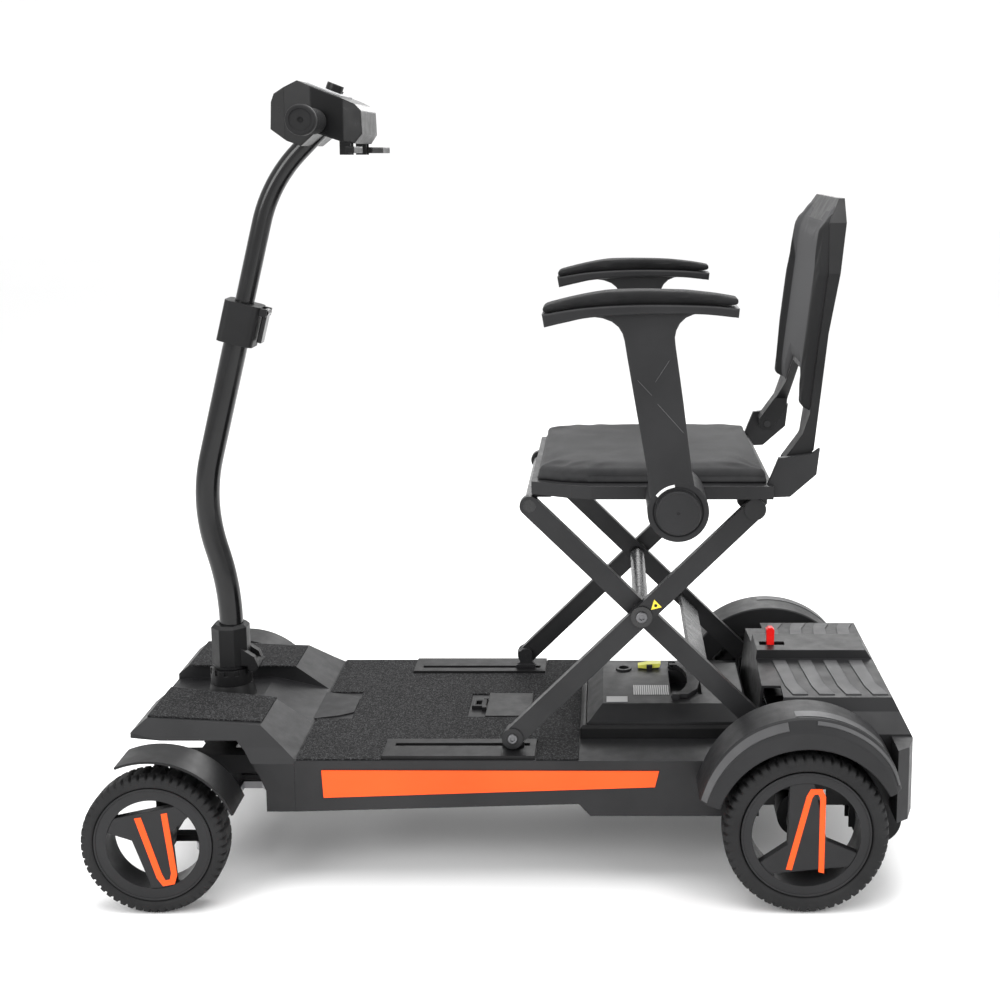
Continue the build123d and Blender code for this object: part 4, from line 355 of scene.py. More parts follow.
# ------------------------------------------------------------ steering post and tiller
# Turned base with a castellated lock ring. The tiller is a bent gloss black steel tube in a
# moulded socket, with a clamp collar and cam lever, and a thinner tube that slides in it.
gloss = coating("gloss_black", (0.004, 0.004, 0.0044), (0.007, 0.007, 0.0075), (0.16, 0.26),
                grain=300.0, depth=0.00002, Coat_Weight=0.25, Coat_Roughness=0.12)
for name in ("steering_base", "lock_ring", "tiller_socket"):
    dress(node[name], black_plastic)
for name in ("lower_tube", "upper_tube", "collar_lever"):
    dress(node[name], gloss)
dress(node["collar"], black_plastic)


# ------------------------------------------------------------ control head
# Two-part black shell over the cross bar, with a light dash panel, a speed knob, a horn
# button, and rubber grips that end in a ribbed hub cap.
satin_black = coating("satin_black", (0.003, 0.003, 0.0033), (0.006, 0.006, 0.0064), (0.26, 0.38),
                      grain=1200.0, depth=0.00006, edge=0.003)
silver = coating("silver_panel", (0.42, 0.42, 0.43), (0.50, 0.50, 0.51), (0.25, 0.35))
rubber = coating("grip_rubber", (0.005, 0.005, 0.0054), (0.009, 0.009, 0.0095), (0.55, 0.7),
                 grain=1600.0, depth=0.0002)
dress(node["head_shell"], satin_black)
dress(node["dash_panel"], silver)
for name in ("speed_knob", "horn_button", "throttle_paddle", "brake_lever"):
    dress(node[name], satin_black)


def middle_of(low, high):
    """The x and z of the middle of a box."""
    return (low[0] + high[0]) / 2, (low[2] + high[2]) / 2


def lathed(name, profile, x, z, side, count=72):
    """Turned piece on a line along y: a closed profile of radius and y, carried round that line."""
    turn = np.linspace(0.0, 2 * np.pi, count, endpoint=False)
    profile = np.asarray(profile, float)
    r, y = profile[:, 0][:, None], side * profile[:, 1][:, None] * np.ones_like(turn)
    grid = np.stack([x + r * np.cos(turn), y, z + r * np.sin(turn)], -1)
    return skin(name, grid, around=True, capped=True, smooth=False)


CAP_LONG, RING_HIGH, RINGS = 14 * MM, 0.9 * MM, 14


def grip_profile(inner, outer, radius):
    """Radius along a grip: a flange, a barrel with shallow rings, and a rounded hub cap."""
    barrel_end = outer - CAP_LONG
    y = np.linspace(inner, barrel_end, 150)
    along = (y - inner) / (barrel_end - inner)
    rings = RING_HIGH * np.clip(np.sin(along * 2 * np.pi * RINGS), -0.35, 1.0)
    r = radius - 1.2 * MM + rings * np.clip((along - 0.06) / 0.04, 0.0, 1.0)
    body = np.stack([r, y], 1)
    cap = [(radius + 1.8 * MM, outer - 13.5 * MM), (radius + 2.2 * MM, outer - 11 * MM),
           (radius + 2.2 * MM, outer - 3 * MM), (radius + 1.4 * MM, outer - 1 * MM),
           (radius, outer), (radius - 2.5 * MM, outer), (radius - 3.5 * MM, outer - 1.5 * MM),
           (4.0 * MM, outer - 1.5 * MM), (3.4 * MM, outer - 2.2 * MM), (2.0 * MM, outer - 4 * MM)]
    return np.vstack([body, cap])


low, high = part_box("grips")
bar_x, bar_z = middle_of(low, high)
GRIP_START = 80 * MM
profile = grip_profile(GRIP_START, high[1], (high[0] - low[0]) / 2)
for side, hand in SIDES:
    dress(lathed(f"grip_{hand}", profile, bar_x, bar_z, side), rubber, "handlebar",
          ["grips"] if side < 0 else ())


# ------------------------------------------------------------ front axle ends
# Steel knuckles on kingpins, each with a stub axle. A satin mudguard is screwed to each and
# turns with the wheel.
guard_black = coating("guard_black", (0.006, 0.006, 0.0064), (0.010, 0.010, 0.0105), (0.34, 0.44),
                      depth=0.00005)
for side, hand in SIDES:
    dress(node[f"front_knuckle_{hand}"], guard_black)


# ------------------------------------------------------------ wheels
# Solid rubber tyres with shoulder blocks and a zigzag groove, on moulded rims with three
# openings. The wide spoke carries a U-shaped orange inlay on its outer face.
tyre_rubber = coating("tyre_rubber", (0.010, 0.010, 0.0105), (0.016, 0.016, 0.0165), (0.6, 0.75),
                      grain=700.0, depth=0.0003, edge=0.0006)
rim_plastic = coating("rim_plastic", (0.013, 0.013, 0.0138), (0.019, 0.019, 0.020), (0.36, 0.48),
                      grain=1300.0, depth=0.0001, edge=0.0012)


def notch(position, width, soft=0.18):
    """Smooth notch once per unit of position: 1 inside the width, 0 outside, with soft sides."""
    offset = np.abs((position + 0.5) % 1.0 - 0.5)
    return np.clip((width / 2 - offset) / (soft * width) + 0.5, 0.0, 1.0)


TREAD_DEEP, BLOCKS, SQUARENESS = 3.0 * MM, 54, 0.42


def tyre(name, low, high, rim_r, side):
    """Tyre carried round its axle: a squarish section with the tread cut into its outer half.

    The section is a superellipse. Each point is then drawn towards the axle by the tread depth
    where a shoulder notch, a zigzag groove or a cross sipe lies, fading out down the sidewall.
    """
    x, z = middle_of(low, high)
    mid, half = (low[1] + high[1]) / 2, (high[1] - low[1]) / 2
    outer = (high[2] - low[2]) / 2
    mean, deep = (outer + rim_r) / 2, (outer - rim_r) / 2
    u = np.linspace(0.0, 1.0, BLOCKS * 14, endpoint=False)[:, None]
    v = np.linspace(0.0, 2 * np.pi, 72, endpoint=False)[None, :]
    across = np.sign(np.cos(v)) * np.abs(np.cos(v)) ** SQUARENESS * half
    lift = np.sign(np.sin(v)) * np.abs(np.sin(v)) ** (SQUARENESS * 1.25)
    share = across / half
    shoulder = notch(u * BLOCKS + 0.16 * share, 0.3) * np.clip((np.abs(share) - 0.5) / 0.08, 0, 1)
    zigzag = 0.30 + 0.07 * np.abs((u * BLOCKS) % 2.0 - 1.0) * 2 - 0.07
    groove = np.clip(1.6 - np.abs(np.abs(share) - zigzag) / 0.035, 0.0, 1.0)
    sipe = notch(u * BLOCKS * 0.5 + 0.35 * share, 0.12)
    sipe = sipe * np.clip((0.3 - np.abs(share)) / 0.05, 0, 1)
    cut = np.clip(np.maximum(np.maximum(shoulder, groove), sipe), 0.0, 1.0)
    cut = cut * np.clip((lift - 0.1) / 0.3, 0.0, 1.0)
    r = mean + deep * lift - TREAD_DEEP * cut
    turn = 2 * np.pi * u
    grid = np.stack([x + r * np.cos(turn), np.broadcast_to(mid + across * side, r.shape),
                     z + r * np.sin(turn)], -1)
    return skin(name, grid, around=True, closed=True)


INLAYS = {
    "front": [(-21.3, 33.9), (2.9, -43.5), (10.2, -54.0), (24.6, -51.2), (28.2, -39.0),
              (19.0, 41.0), (11.5, 39.6), (20.6, -37.0), (18.9, -45.0), (13.6, -46.2),
              (9.6, -38.5), (-13.0, 35.2)],
    "rear": [(-24.5, -44.6), (-0.8, 50.2), (4.0, 59.0), (18.2, 59.0), (22.8, 49.0),
             (22.4, -49.5), (15.4, -48.0), (15.6, 47.6), (13.3, 52.2), (9.2, 52.2),
             (6.2, 47.8), (-17.0, -45.4)],
}
RIM_R = {"front": 72.0 * MM, "rear": 79.5 * MM}
SPOKES = {"front": (57.0, 42.0, 11.9), "rear": (66.5, 46.0, 185.8)}


def spoke_outline(radius, chord, tilt):
    """Star of three spokes inside a circle: a wide one cut by a chord, two thin ones and a foot.

    The right half runs from the chord's end along the circle, in to the root between the thin
    spoke and the foot, and out along the foot; it is mirrored, and all is turned by the tilt.
    """
    start = math.asin(chord / radius)
    edge = math.atan2(0.48, 0.95)
    foot = math.asin(15.0 / radius)
    upper = np.linspace(start, edge, 8)
    lower = np.linspace(foot - math.pi / 2, -math.pi / 2, 6)
    right = np.concatenate([radius * np.stack([np.cos(upper), np.sin(upper)], 1), [(24.0, 10.0)],
                            radius * np.stack([np.cos(lower), np.sin(lower)], 1)])
    whole = np.concatenate([right, right[-2::-1] * (-1.0, 1.0)])
    t = math.radians(tilt)
    return np.stack([whole[:, 0] * math.cos(t) - whole[:, 1] * math.sin(t),
                     whole[:, 0] * math.sin(t) + whole[:, 1] * math.cos(t)], 1)


for place in ("front", "rear"):
    for side, hand in SIDES:
        body = f"{place}_wheel_{hand}"
        low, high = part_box(f"{place}_tyre_{hand}")
        x, z = middle_of(low, high)
        face = max(side * low[1], side * high[1])
        r = RIM_R[place]
        dress(tyre(f"{place}_tread_{hand}", low, high, r, side), tyre_rubber, body,
              [f"{place}_tyre_{hand}"])
        dress(node[f"{place}_rim_{hand}"], rim_plastic)
        ends = sorted((side * (face - 5.4 * MM), side * (face - 3.5 * MM)))
        star = spoke_outline(*SPOKES[place]) * MM + (x, z)
        dress(plate(f"{place}_spokes_{hand}", star, *ends, edge=0.9 * MM), rim_plastic, body)
        inlay = np.array(INLAYS[place]) * MM + (x, z)
        ends = sorted((side * (face - 4.4 * MM), side * (face - 2.9 * MM)))
        dress(plate(f"{place}_inlay_{hand}", inlay, *ends, edge=0.5 * MM), orange_trim, body)
        bead = [(r - 2.6 * MM, face - 6 * MM), (r - 2.4 * MM, face - 2.4 * MM),
                (r - 1.4 * MM, face - 1.7 * MM), (r + 0.2 * MM, face - 1.9 * MM),
                (r + 0.5 * MM, face - 3 * MM), (r + 0.3 * MM, face - 6 * MM)]
        bead_r, bead_y = np.hsplit(np.array(bead), 2)
        turn = np.linspace(0.0, 2 * np.pi, 120, endpoint=False)
        grid = np.stack([x + bead_r * np.cos(turn), side * bead_y * np.ones_like(turn),
                         z + bead_r * np.sin(turn)], -1)
        dress(skin(f"{place}_bead_{hand}", grid, around=True, closed=True), rim_plastic, body)


# ------------------------------------------------------------ battery
# Lift-out pack in a black frame behind the footwell: a charging port, a lime release lever,
# a folding carry handle and two blank rating plates on its top.
dress(node["battery_housing"], black_plastic)
dress(node["battery_pack"], charcoal)
dress(node["battery_handle"], charcoal)
lime = coating("lime_plastic", (0.70, 0.70, 0.10), (0.78, 0.78, 0.15), (0.3, 0.4))
dress(node["battery_lever"], lime)


def flat_space(height):
    """Lays a plate flat: outline x and y, thickness upwards from the height."""
    return lambda a, b, t: np.stack([a, b, t + height], -1)


paper, paper_tree, paper_shader = shade("rating_plate", Roughness=0.5)
bars_place = paper_tree.nodes.new("ShaderNodeTexCoord")
bars = paper_tree.nodes.new("ShaderNodeTexWave")
bars.bands_direction = "X"
bars.inputs["Scale"].default_value = 110.0
bars.inputs["Distortion"].default_value = 1.2
bars_pick = paper_tree.nodes.new("ShaderNodeMapRange")
bars_pick.inputs["From Min"].default_value = 0.45
bars_pick.inputs["From Max"].default_value = 0.6
paper_tree.links.new(bars_place.outputs["Object"], bars.inputs["Vector"])
paper_tree.links.new(bars.outputs["Fac"], bars_pick.inputs["Value"])
paper_tree.links.new(tinted(paper_tree, bars_pick.outputs["Result"], (0.10, 0.10, 0.10),
                            (0.42, 0.42, 0.42)), paper_shader.inputs["Base Color"])
plain_label = coating("plain_label", (0.36, 0.36, 0.36), (0.42, 0.42, 0.42), (0.4, 0.5))
low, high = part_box("battery_lever")
label_z = low[2] - 0.25 * MM
for name, x0, x1, y0, y1, label in (("rating_plate", 166, 214, -48, -12, paper),
                                    ("maker_plate", 130, 158, -74, -54, plain_label)):
    corners = np.array([(x0, y0), (x1, y0), (x1, y1), (x0, y1)]) * MM
    dress(plate(name, corners, 0.0, 0.3 * MM, edge=0.12 * MM, space=flat_space(label_z)), label,
          "battery")


# ------------------------------------------------------------ rear body
# Charcoal cover over the motors with eight light chevron ribs, and wide arches over the
# rear wheels. A pale band on each arch's shoulder is a painted highlight along its top edge.
# The red lever frees the drive.
dress(node["rear_cover"], charcoal)
dress(node["freewheel_lever"], red)
dress(node["anti_tip_wheels"], rubber)
rib_grey = coating("rib_grey", (0.045, 0.045, 0.047), (0.060, 0.060, 0.062), (0.4, 0.5),
                   grain=1400.0, depth=0.0001)
# Pale grey for the arm scores; on the arch shoulders this tone is a painted highlight along the top
# edge.
pale_score_and_arch_highlight = coating("pale_score_and_arch_highlight", (0.055, 0.055, 0.057), (0.085, 0.085, 0.087), (0.34, 0.44),
                    grain=1200.0, depth=0.00008)

RIBS, RIB_START, RIB_PITCH, RIB_W = 4, 352.0, 34.0, 18.0
SLOPE = [(33.0, 250.0), (150.0, 240.0)]


def on_slope(side):
    """Lays a plate on the cover's sloping side: outline x and distance from the middle, height
    from the line between the slope's top and foot."""
    def space(a, b, t):
        share = (b / MM - SLOPE[0][0]) / (SLOPE[1][0] - SLOPE[0][0])
        z = (SLOPE[0][1] + share * (SLOPE[1][1] - SLOPE[0][1])) * MM
        return np.stack([a, side * b, z + t], -1)
    return space


for side, hand in SIDES:
    for number in range(RIBS):
        x = RIB_START + RIB_PITCH * number
        outline = np.array([(x, 40), (x + RIB_W, 40), (x + RIB_W + 2, 60), (x + RIB_W + 7, 112),
                            (x + RIB_W + 17, 143), (x + 15, 143), (x + 8, 118), (x + 1, 58)]) * MM
        dress(plate(f"rib_{hand}_{number + 1}", outline, -0.5 * MM, 1.4 * MM, edge=0.8 * MM,
                    space=on_slope(side)), rib_grey, "chassis")

ARCH_ANGLE = np.array([28, 34, 40, 50, 60, 75, 90, 105, 120, 140, 161.0])
ARCH_R = np.array([127, 133.5, 138, 143, 146, 149, 150, 150, 149, 144, 138.0])
ARCH_IN_R = 112.0
low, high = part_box("rear_tyre_left")
axle_x, axle_z = middle_of(low, high)


def arch_grid(angles, section, side):
    """Arch about the rear axle: each section point is a share between inner and outer radius, a
    radial offset, and a distance from the middle plane; the outer radius follows the angle."""
    angles = np.asarray(angles, float)[:, None]
    section = np.asarray(section, float)
    outer = np.interp(angles, ARCH_ANGLE, ARCH_R)
    smooth = (outer + np.interp(angles - 5, ARCH_ANGLE, ARCH_R)
              + np.interp(angles + 5, ARCH_ANGLE, ARCH_R)) / 3
    r = ARCH_IN_R + (smooth - ARCH_IN_R) * section[None, :, 0] + section[None, :, 1]
    a = np.radians(angles)
    y = np.broadcast_to(side * section[None, :, 2], r.shape)
    return np.stack([axle_x + r * MM * np.cos(a), y * MM, axle_z + r * MM * np.sin(a)], -1)


ARCH_SECTION = [(0, 0, 185), (0, 0, 253.5), (0, 1.5, 255), (0.55, 0, 255), (0.62, 0, 254.4),
                (0.95, 0, 249), (1.0, 0, 246.5), (1.0, 0, 187), (1.0, -1.5, 185)]
# Pale bands on each arch's shoulder: painted highlight where light falls on the arch's top edge.
ARCH_HIGHLIGHT_BANDS = {
    "front": (np.linspace(100, 160, 40),
              [(0.66, 0.2, 253.8), (0.66, 1.2, 254.5), (0.92, 0.8, 250.2), (0.92, -0.4, 249.2)]),
    "top": (np.linspace(50, 96, 34),
            [(1.0, -0.4, 243), (1.0, 0.8, 243), (1.0, 0.8, 226), (1.0, -0.4, 226)]),
    "rear": (np.linspace(31, 86, 40),
             [(0.80, 0.2, 251.4), (0.80, 1.2, 252.2), (0.92, 0.8, 250.2), (0.92, -0.4, 249.2)]),
}
for side, hand in SIDES:
    arch = skin(f"arch_{hand}", arch_grid(np.linspace(28, 161, 90), ARCH_SECTION, side),
                around=True, capped=True, smooth=False)
    dress(arch, charcoal, "chassis", ["rear_fenders"] if side < 0 else ())
    for part, (angles, section) in ARCH_HIGHLIGHT_BANDS.items():
        arch_highlight_band = skin(f"arch_highlight_{part}_{hand}", arch_grid(angles, section, side), around=True,
                     capped=True, smooth=False)
        dress(arch_highlight_band, pale_score_and_arch_highlight, "chassis")


# ------------------------------------------------------------ folding legs
# Two pairs of flat steel legs crossed like scissors, painted satin grey, with a deep ribbed
# lattice on their inner faces, round end caps, and plated shafts between them. The lattice is
# drawn as thin bars in a lighter tone, a painted highlight on the rib edges.
leg_paint = coating("leg_paint", (0.014, 0.014, 0.0148), (0.021, 0.021, 0.022), (0.30, 0.40),
                    grain=600.0, depth=0.00005)
SHAFT_HALF = 0.12      # the bright part of a shaft ends here, and its black cap begins
shaft_steel, shaft_tree, shaft_shader = shade("shaft_steel", Metallic=0.0)
cap_place = shaft_tree.nodes.new("ShaderNodeTexCoord")
cap_split = shaft_tree.nodes.new("ShaderNodeSeparateXYZ")
cap_away = shaft_tree.nodes.new("ShaderNodeMath")
cap_away.operation = "ABSOLUTE"
cap_past = shaft_tree.nodes.new("ShaderNodeMath")
cap_past.operation = "LESS_THAN"
cap_past.inputs[1].default_value = SHAFT_HALF
shaft_tree.links.new(cap_place.outputs["Object"], cap_split.inputs["Vector"])
shaft_tree.links.new(cap_split.outputs["Y"], cap_away.inputs[0])
shaft_tree.links.new(cap_away.outputs["Value"], cap_past.inputs[0])
shaft_tree.links.new(tinted(shaft_tree, cap_past.outputs["Value"], (0.010, 0.010, 0.0105),
                            (0.07, 0.07, 0.072)), shaft_shader.inputs["Base Color"])
shaft_tree.links.new(uneven(shaft_tree, 0.22, 0.34, 80.0), shaft_shader.inputs["Roughness"])
rough_skin(shaft_tree, shaft_shader, 500.0, 0.00005)
for name in ("inner_legs", "outer_legs", "foot_blocks"):
    dress(node[name], leg_paint)
dress(node["inner_leg_shafts"], shaft_steel)
dress(node["outer_leg_pins"], leg_paint)


def slats(name, lines, width, near, far):
    """Straight flat bars in one mesh: each line from one x, z point to another, widened square to
    itself, and carried from the near to the far y."""
    lines = np.asarray(lines, float)
    start, end = lines[:, 0], lines[:, 1]
    along = (end - start) / np.linalg.norm(end - start, axis=1, keepdims=True)
    square = np.stack([-along[:, 1], along[:, 0]], 1) * width / 2
    corners = np.stack([start - square, end - square, end + square, start + square], 1)
    points = np.stack([np.insert(corners, 1, y, axis=2) for y in (near, far)], 1).reshape(-1, 3)
    one = np.array([(0, 1, 2, 3), (7, 6, 5, 4), (0, 4, 5, 1), (1, 5, 6, 2), (2, 6, 7, 3),
                    (3, 7, 4, 0)])
    faces = (one[None] + 8 * np.arange(len(lines))[:, None, None]).reshape(-1, 4)
    return solid(name, points, faces.tolist())


HEEL, CATCH = np.array((336.6, 190.2)) * MM, np.array((34.2, 487.4)) * MM
INNER_FACE, CELLS = 137.6, 15
END_ROOM, PIVOT_SHARE, PIVOT_ROOM = 48 * MM, 0.537, 24 * MM
LATTICE_HALF, LATTICE_BAR = 10.5 * MM, 1.5 * MM
# The lattice bars carry the legs' own paint lit on its edges: a painted highlight, lighter and
# glossier than the legs.
lattice_highlight = coating("lattice_highlight", (0.05, 0.05, 0.052), (0.08, 0.08, 0.083), (0.2, 0.3))
leg_run = CATCH - HEEL
leg_long = np.linalg.norm(leg_run)
leg_run = leg_run / leg_long
leg_square = np.array((-leg_run[1], leg_run[0]))
stops = np.linspace(END_ROOM, leg_long - END_ROOM, CELLS + 1)
cell_middles = stops[:-1] + (stops[1] - stops[0]) / 2
clear_of_crossing = np.abs(cell_middles - leg_long * PIVOT_SHARE) > PIVOT_ROOM
rails = []
for number in range(CELLS):
    if not clear_of_crossing[number]:
        continue
    a, b = HEEL + leg_run * stops[number], HEEL + leg_run * stops[number + 1]
    up, down = leg_square * LATTICE_HALF, -leg_square * LATTICE_HALF
    tip = (a + b) / 2 + (down if number % 2 else up)
    base_a, base_b = (a + up, b + up) if number % 2 else (a + down, b + down)
    rails += [(base_a, tip), (tip, base_b), (a + up, b + up), (a + down, b + down)]
for side, hand in SIDES:
    ends = both_y(side, INNER_FACE - 1.1, INNER_FACE + 0.3)
    # Thin bars on each leg's inner face, coloured as a painted highlight on the lattice ribs.
    dress(slats(f"leg_lattice_{hand}", rails, LATTICE_BAR, *ends), lattice_highlight, "inner_legs")

TOE, CROSS = (11.4, 190.2), (174.0, 350.0)
for side, hand in SIDES:
    for part, (x, z), r, y, body in (("toe", TOE, 6.5, 164.0, "outer_legs"),
                                     ("cross", CROSS, 7.5, 164.3, "inner_legs")):
        screw(f"{part}_screw_{hand}", x * MM, side * y * MM, z * MM, r * MM, side, body)

# A plain yellow triangle with a dark dot is stuck beside the crossing.
sticker = coating("sticker_yellow", (0.85, 0.66, 0.05), (0.90, 0.72, 0.08), (0.35, 0.45))
STICKER_TILT, STICKER_R, DOT_R = 14, 8.0 * MM, 2.0 * MM
centre = np.array((191.5, 364.5)) * MM
corner = np.radians(np.array((90, 210, 330)) + STICKER_TILT)
triangle = centre + STICKER_R * np.stack([np.cos(corner), np.sin(corner)], 1)
dress(plate("caution_patch", triangle, -162.4 * MM, -161.9 * MM, edge=0.15 * MM), sticker,
      "outer_legs")
dot_turn = np.linspace(0, 2 * np.pi, 20, endpoint=False)
dot = centre + DOT_R * np.stack([np.cos(dot_turn), np.sin(dot_turn)], 1)
dress(plate("caution_dot", dot, -162.7 * MM, -162.2 * MM, edge=0.15 * MM), black_plastic,
      "outer_legs")


# ------------------------------------------------------------ seat
# Moulded tub on the legs, with steel hinge plates behind, and a thin foam cushion covered in
# fine grey cloth that is sewn tight over its cut corners.
dress(node["seat_base"], charcoal)
dress(node["seat_brackets"], charcoal)


THREADS = 375.0        # thread waves per metre of the weave


def cloth(name, dark, light):
    """Woven cover: two crossed thread waves as a bump, soft colour patches and a low sheen."""
    made, tree, shader = shade(name, Roughness=0.82, Sheen_Weight=0.08, Sheen_Roughness=0.4,
                               Specular_IOR_Level=0.2)
    place = tree.nodes.new("ShaderNodeTexCoord")
    heights = []
    for direction in ("X", "Y"):
        threads = tree.nodes.new("ShaderNodeTexWave")
        threads.bands_direction = direction
        threads.inputs["Scale"].default_value = THREADS
        threads.inputs["Distortion"].default_value = 1.0
        threads.inputs["Detail Scale"].default_value = 40.0
        tree.links.new(place.outputs["Object"], threads.inputs["Vector"])
        heights.append(threads.outputs["Fac"])
    weave = tree.nodes.new("ShaderNodeMath")
    weave.operation = "MULTIPLY"
    tree.links.new(heights[0], weave.inputs[0])
    tree.links.new(heights[1], weave.inputs[1])
    bump = tree.nodes.new("ShaderNodeBump")
    bump.inputs["Strength"].default_value = 0.35
    bump.inputs["Distance"].default_value = 0.0004
    tree.links.new(weave.outputs["Value"], bump.inputs["Height"])
    tree.links.new(bump.outputs["Normal"], shader.inputs["Normal"])
    blend = tree.nodes.new("ShaderNodeMath")
    blend.operation = "MULTIPLY_ADD"
    blend.inputs[1].default_value = 0.35
    tree.links.new(weave.outputs["Value"], blend.inputs[0])
    tree.links.new(uneven(tree, 0.0, 0.7, 30.0), blend.inputs[2])
    tree.links.new(tinted(tree, blend.outputs["Value"], dark, light), shader.inputs["Base Color"])
    return made


seat_cloth = cloth("seat_cloth", (0.020, 0.020, 0.021), (0.042, 0.042, 0.043))


FRAMES, PRESSURE, STIFFNESS = 20, 4.0, 12.0


def stuffed(name, source, voxel, cap, firm=1.0, held=None):
    """Padded piece from a solid's mesh: remeshed in even cells, blown up by cloth under pressure.

    Points on the underside, which rests on its carrier, are held, or the given ones where the
    mesh is even already, and every other point moves at most the cap. The cloth is applied, and
    one subdivision finishes it.
    """
    mesh = source.data.copy()
    shell = bmesh.new()
    shell.from_mesh(mesh)
    bmesh.ops.remove_doubles(shell, verts=shell.verts, dist=1e-5)
    shell.to_mesh(mesh)
    shell.free()
    mesh.materials.clear()
    made = bpy.data.objects.new(name, mesh)
    bpy.context.scene.collection.objects.link(made)
    even = mesh
    if held is None:
        cells = made.modifiers.new("cells", "REMESH")
        cells.mode = "VOXEL"
        cells.voxel_size = voxel
        bpy.context.view_layer.update()
        graph = bpy.context.evaluated_depsgraph_get()
        even = bpy.data.meshes.new_from_object(made.evaluated_get(graph))
        made.modifiers.clear()
        made.data = even
    rest = np.empty(len(even.vertices) * 3)
    even.vertices.foreach_get("co", rest)
    rest = rest.reshape(-1, 3)
    if held is None:
        held = np.flatnonzero(rest[:, 2] < rest[:, 2].min() + voxel * 0.8)
    grip = made.vertex_groups.new(name="held")
    grip.add(held.tolist(), 1.0, "REPLACE")
    blow = made.modifiers.new("Cloth", "CLOTH")
    blow.settings.use_pressure = True
    blow.settings.uniform_pressure_force = PRESSURE * firm
    blow.settings.effector_weights.gravity = 0.0
    blow.settings.vertex_group_mass = "held"
    blow.settings.mass = 0.2
    blow.settings.tension_stiffness = STIFFNESS
    blow.settings.compression_stiffness = STIFFNESS
    blow.point_cache.frame_start = 1
    blow.point_cache.frame_end = FRAMES
    for moment in range(1, FRAMES + 1):
        bpy.context.scene.frame_set(moment)
    graph = bpy.context.evaluated_depsgraph_get()
    blown = bpy.data.meshes.new_from_object(made.evaluated_get(graph))
    there = np.empty(len(blown.vertices) * 3)
    blown.vertices.foreach_get("co", there)
    move = there.reshape(-1, 3) - rest
    far = np.linalg.norm(move, axis=1, keepdims=True)
    move *= np.minimum(1.0, cap / np.maximum(far, 1e-9))
    made.modifiers.clear()
    rest = rest + move
    bpy.context.scene.frame_set(1)
    even.vertices.foreach_set("co", rest.ravel())
    even.polygons.foreach_set("use_smooth", np.full(len(even.polygons), True))
    even.update()
    finer = made.modifiers.new("finer", "SUBSURF")
    finer.levels = 1
    finer.render_levels = 1
    return made


cushion = stuffed("seat_pad", node["seat_cushion"], 4.0 * MM, 3.0 * MM)
dress(cushion, seat_cloth, "seat", ["seat_cushion"])


# ------------------------------------------------------------ backrest
# Moulded shell on hinge plates, with a pale cloth face set between two darker padded
# bolsters.
dress(node["backrest_frame"], black_plastic)
CREASE = 0.1155        # distance of the bolsters' inner crease from the middle
back_cloth, back_tree, back_shader = shade("back_cloth", Roughness=0.8, Specular_IOR_Level=0.2)
back_place = back_tree.nodes.new("ShaderNodeTexCoord")
back_split = back_tree.nodes.new("ShaderNodeSeparateXYZ")
back_away = back_tree.nodes.new("ShaderNodeMath")
back_away.operation = "ABSOLUTE"
back_past = back_tree.nodes.new("ShaderNodeMapRange")
back_past.inputs["From Min"].default_value = CREASE - 0.001
back_past.inputs["From Max"].default_value = CREASE + 0.001
back_tree.links.new(back_place.outputs["Object"], back_split.inputs["Vector"])
back_tree.links.new(back_split.outputs["Y"], back_away.inputs[0])
back_tree.links.new(back_away.outputs["Value"], back_past.inputs["Value"])
back_tree.links.new(tinted(back_tree, back_past.outputs["Result"], (0.052, 0.052, 0.054),
                           (0.012, 0.012, 0.0125)), back_shader.inputs["Base Color"])
rough_skin(back_tree, back_shader, 1500.0, 0.0003)
FACE_X = np.array([379.2, 380.0, 385.0, 399.0, 400.4, 402.5, 418.0])
FACE_Z = np.array([606.0, 614.0, 662.0, 781.0, 806.0, 838.0, 867.0])
PAD_ROWS, PAD_COLS = 58, 76
PAD_HALF, PAD_TOP_Z, PAD_HIGH, RIM_R_BACK = 154.0, 861.0, 240.0, 9.0
WEB, SUNK, BOLSTER, BOLSTER_AT = 3.0, 4.0, 8.0, 0.765


def back_sheet(front):
    """One sheet of the back pad over a share across s and a share up t.

    y = s times the half width at its height, which narrows at the cut top corners; z runs from the
    notched lower edge to the top. x is the shell's face less the web, less the bolster's height
    times a smooth step past its inner crease, rounded off at the rim by a quarter ellipse.
    """
    s, t = np.meshgrid(np.linspace(-1, 1, PAD_COLS), np.linspace(0, 1, PAD_ROWS))
    foot = np.interp(np.abs(s) * PAD_HALF, (47.0, 92.0), (650.0, 609.0))
    z = foot + t * (PAD_TOP_Z - foot)
    y = s * np.interp(z, (778.0, 838.0, PAD_TOP_Z), (PAD_HALF, 130.0, 105.0))
    face = np.interp(z, FACE_Z, FACE_X)
    if not front:
        return np.stack([face + SUNK, y, z], -1) * MM
    step = np.clip((np.abs(s) - BOLSTER_AT) / 0.05, 0.0, 1.0)
    rise = BOLSTER * np.interp(z, (790.0, 850.0), (1.0, 0.35)) * step * step * (3 - 2 * step)
    rim = np.minimum(np.minimum((1 - np.abs(s)) * PAD_HALF, (1 - t) * PAD_HIGH), t * PAD_HIGH)
    share = np.clip(rim / RIM_R_BACK, 0.0, 1.0)
    round_off = np.sqrt(1 - (1 - share) ** 2)
    return np.stack([face - (WEB + rise) * round_off, y, z], -1) * MM


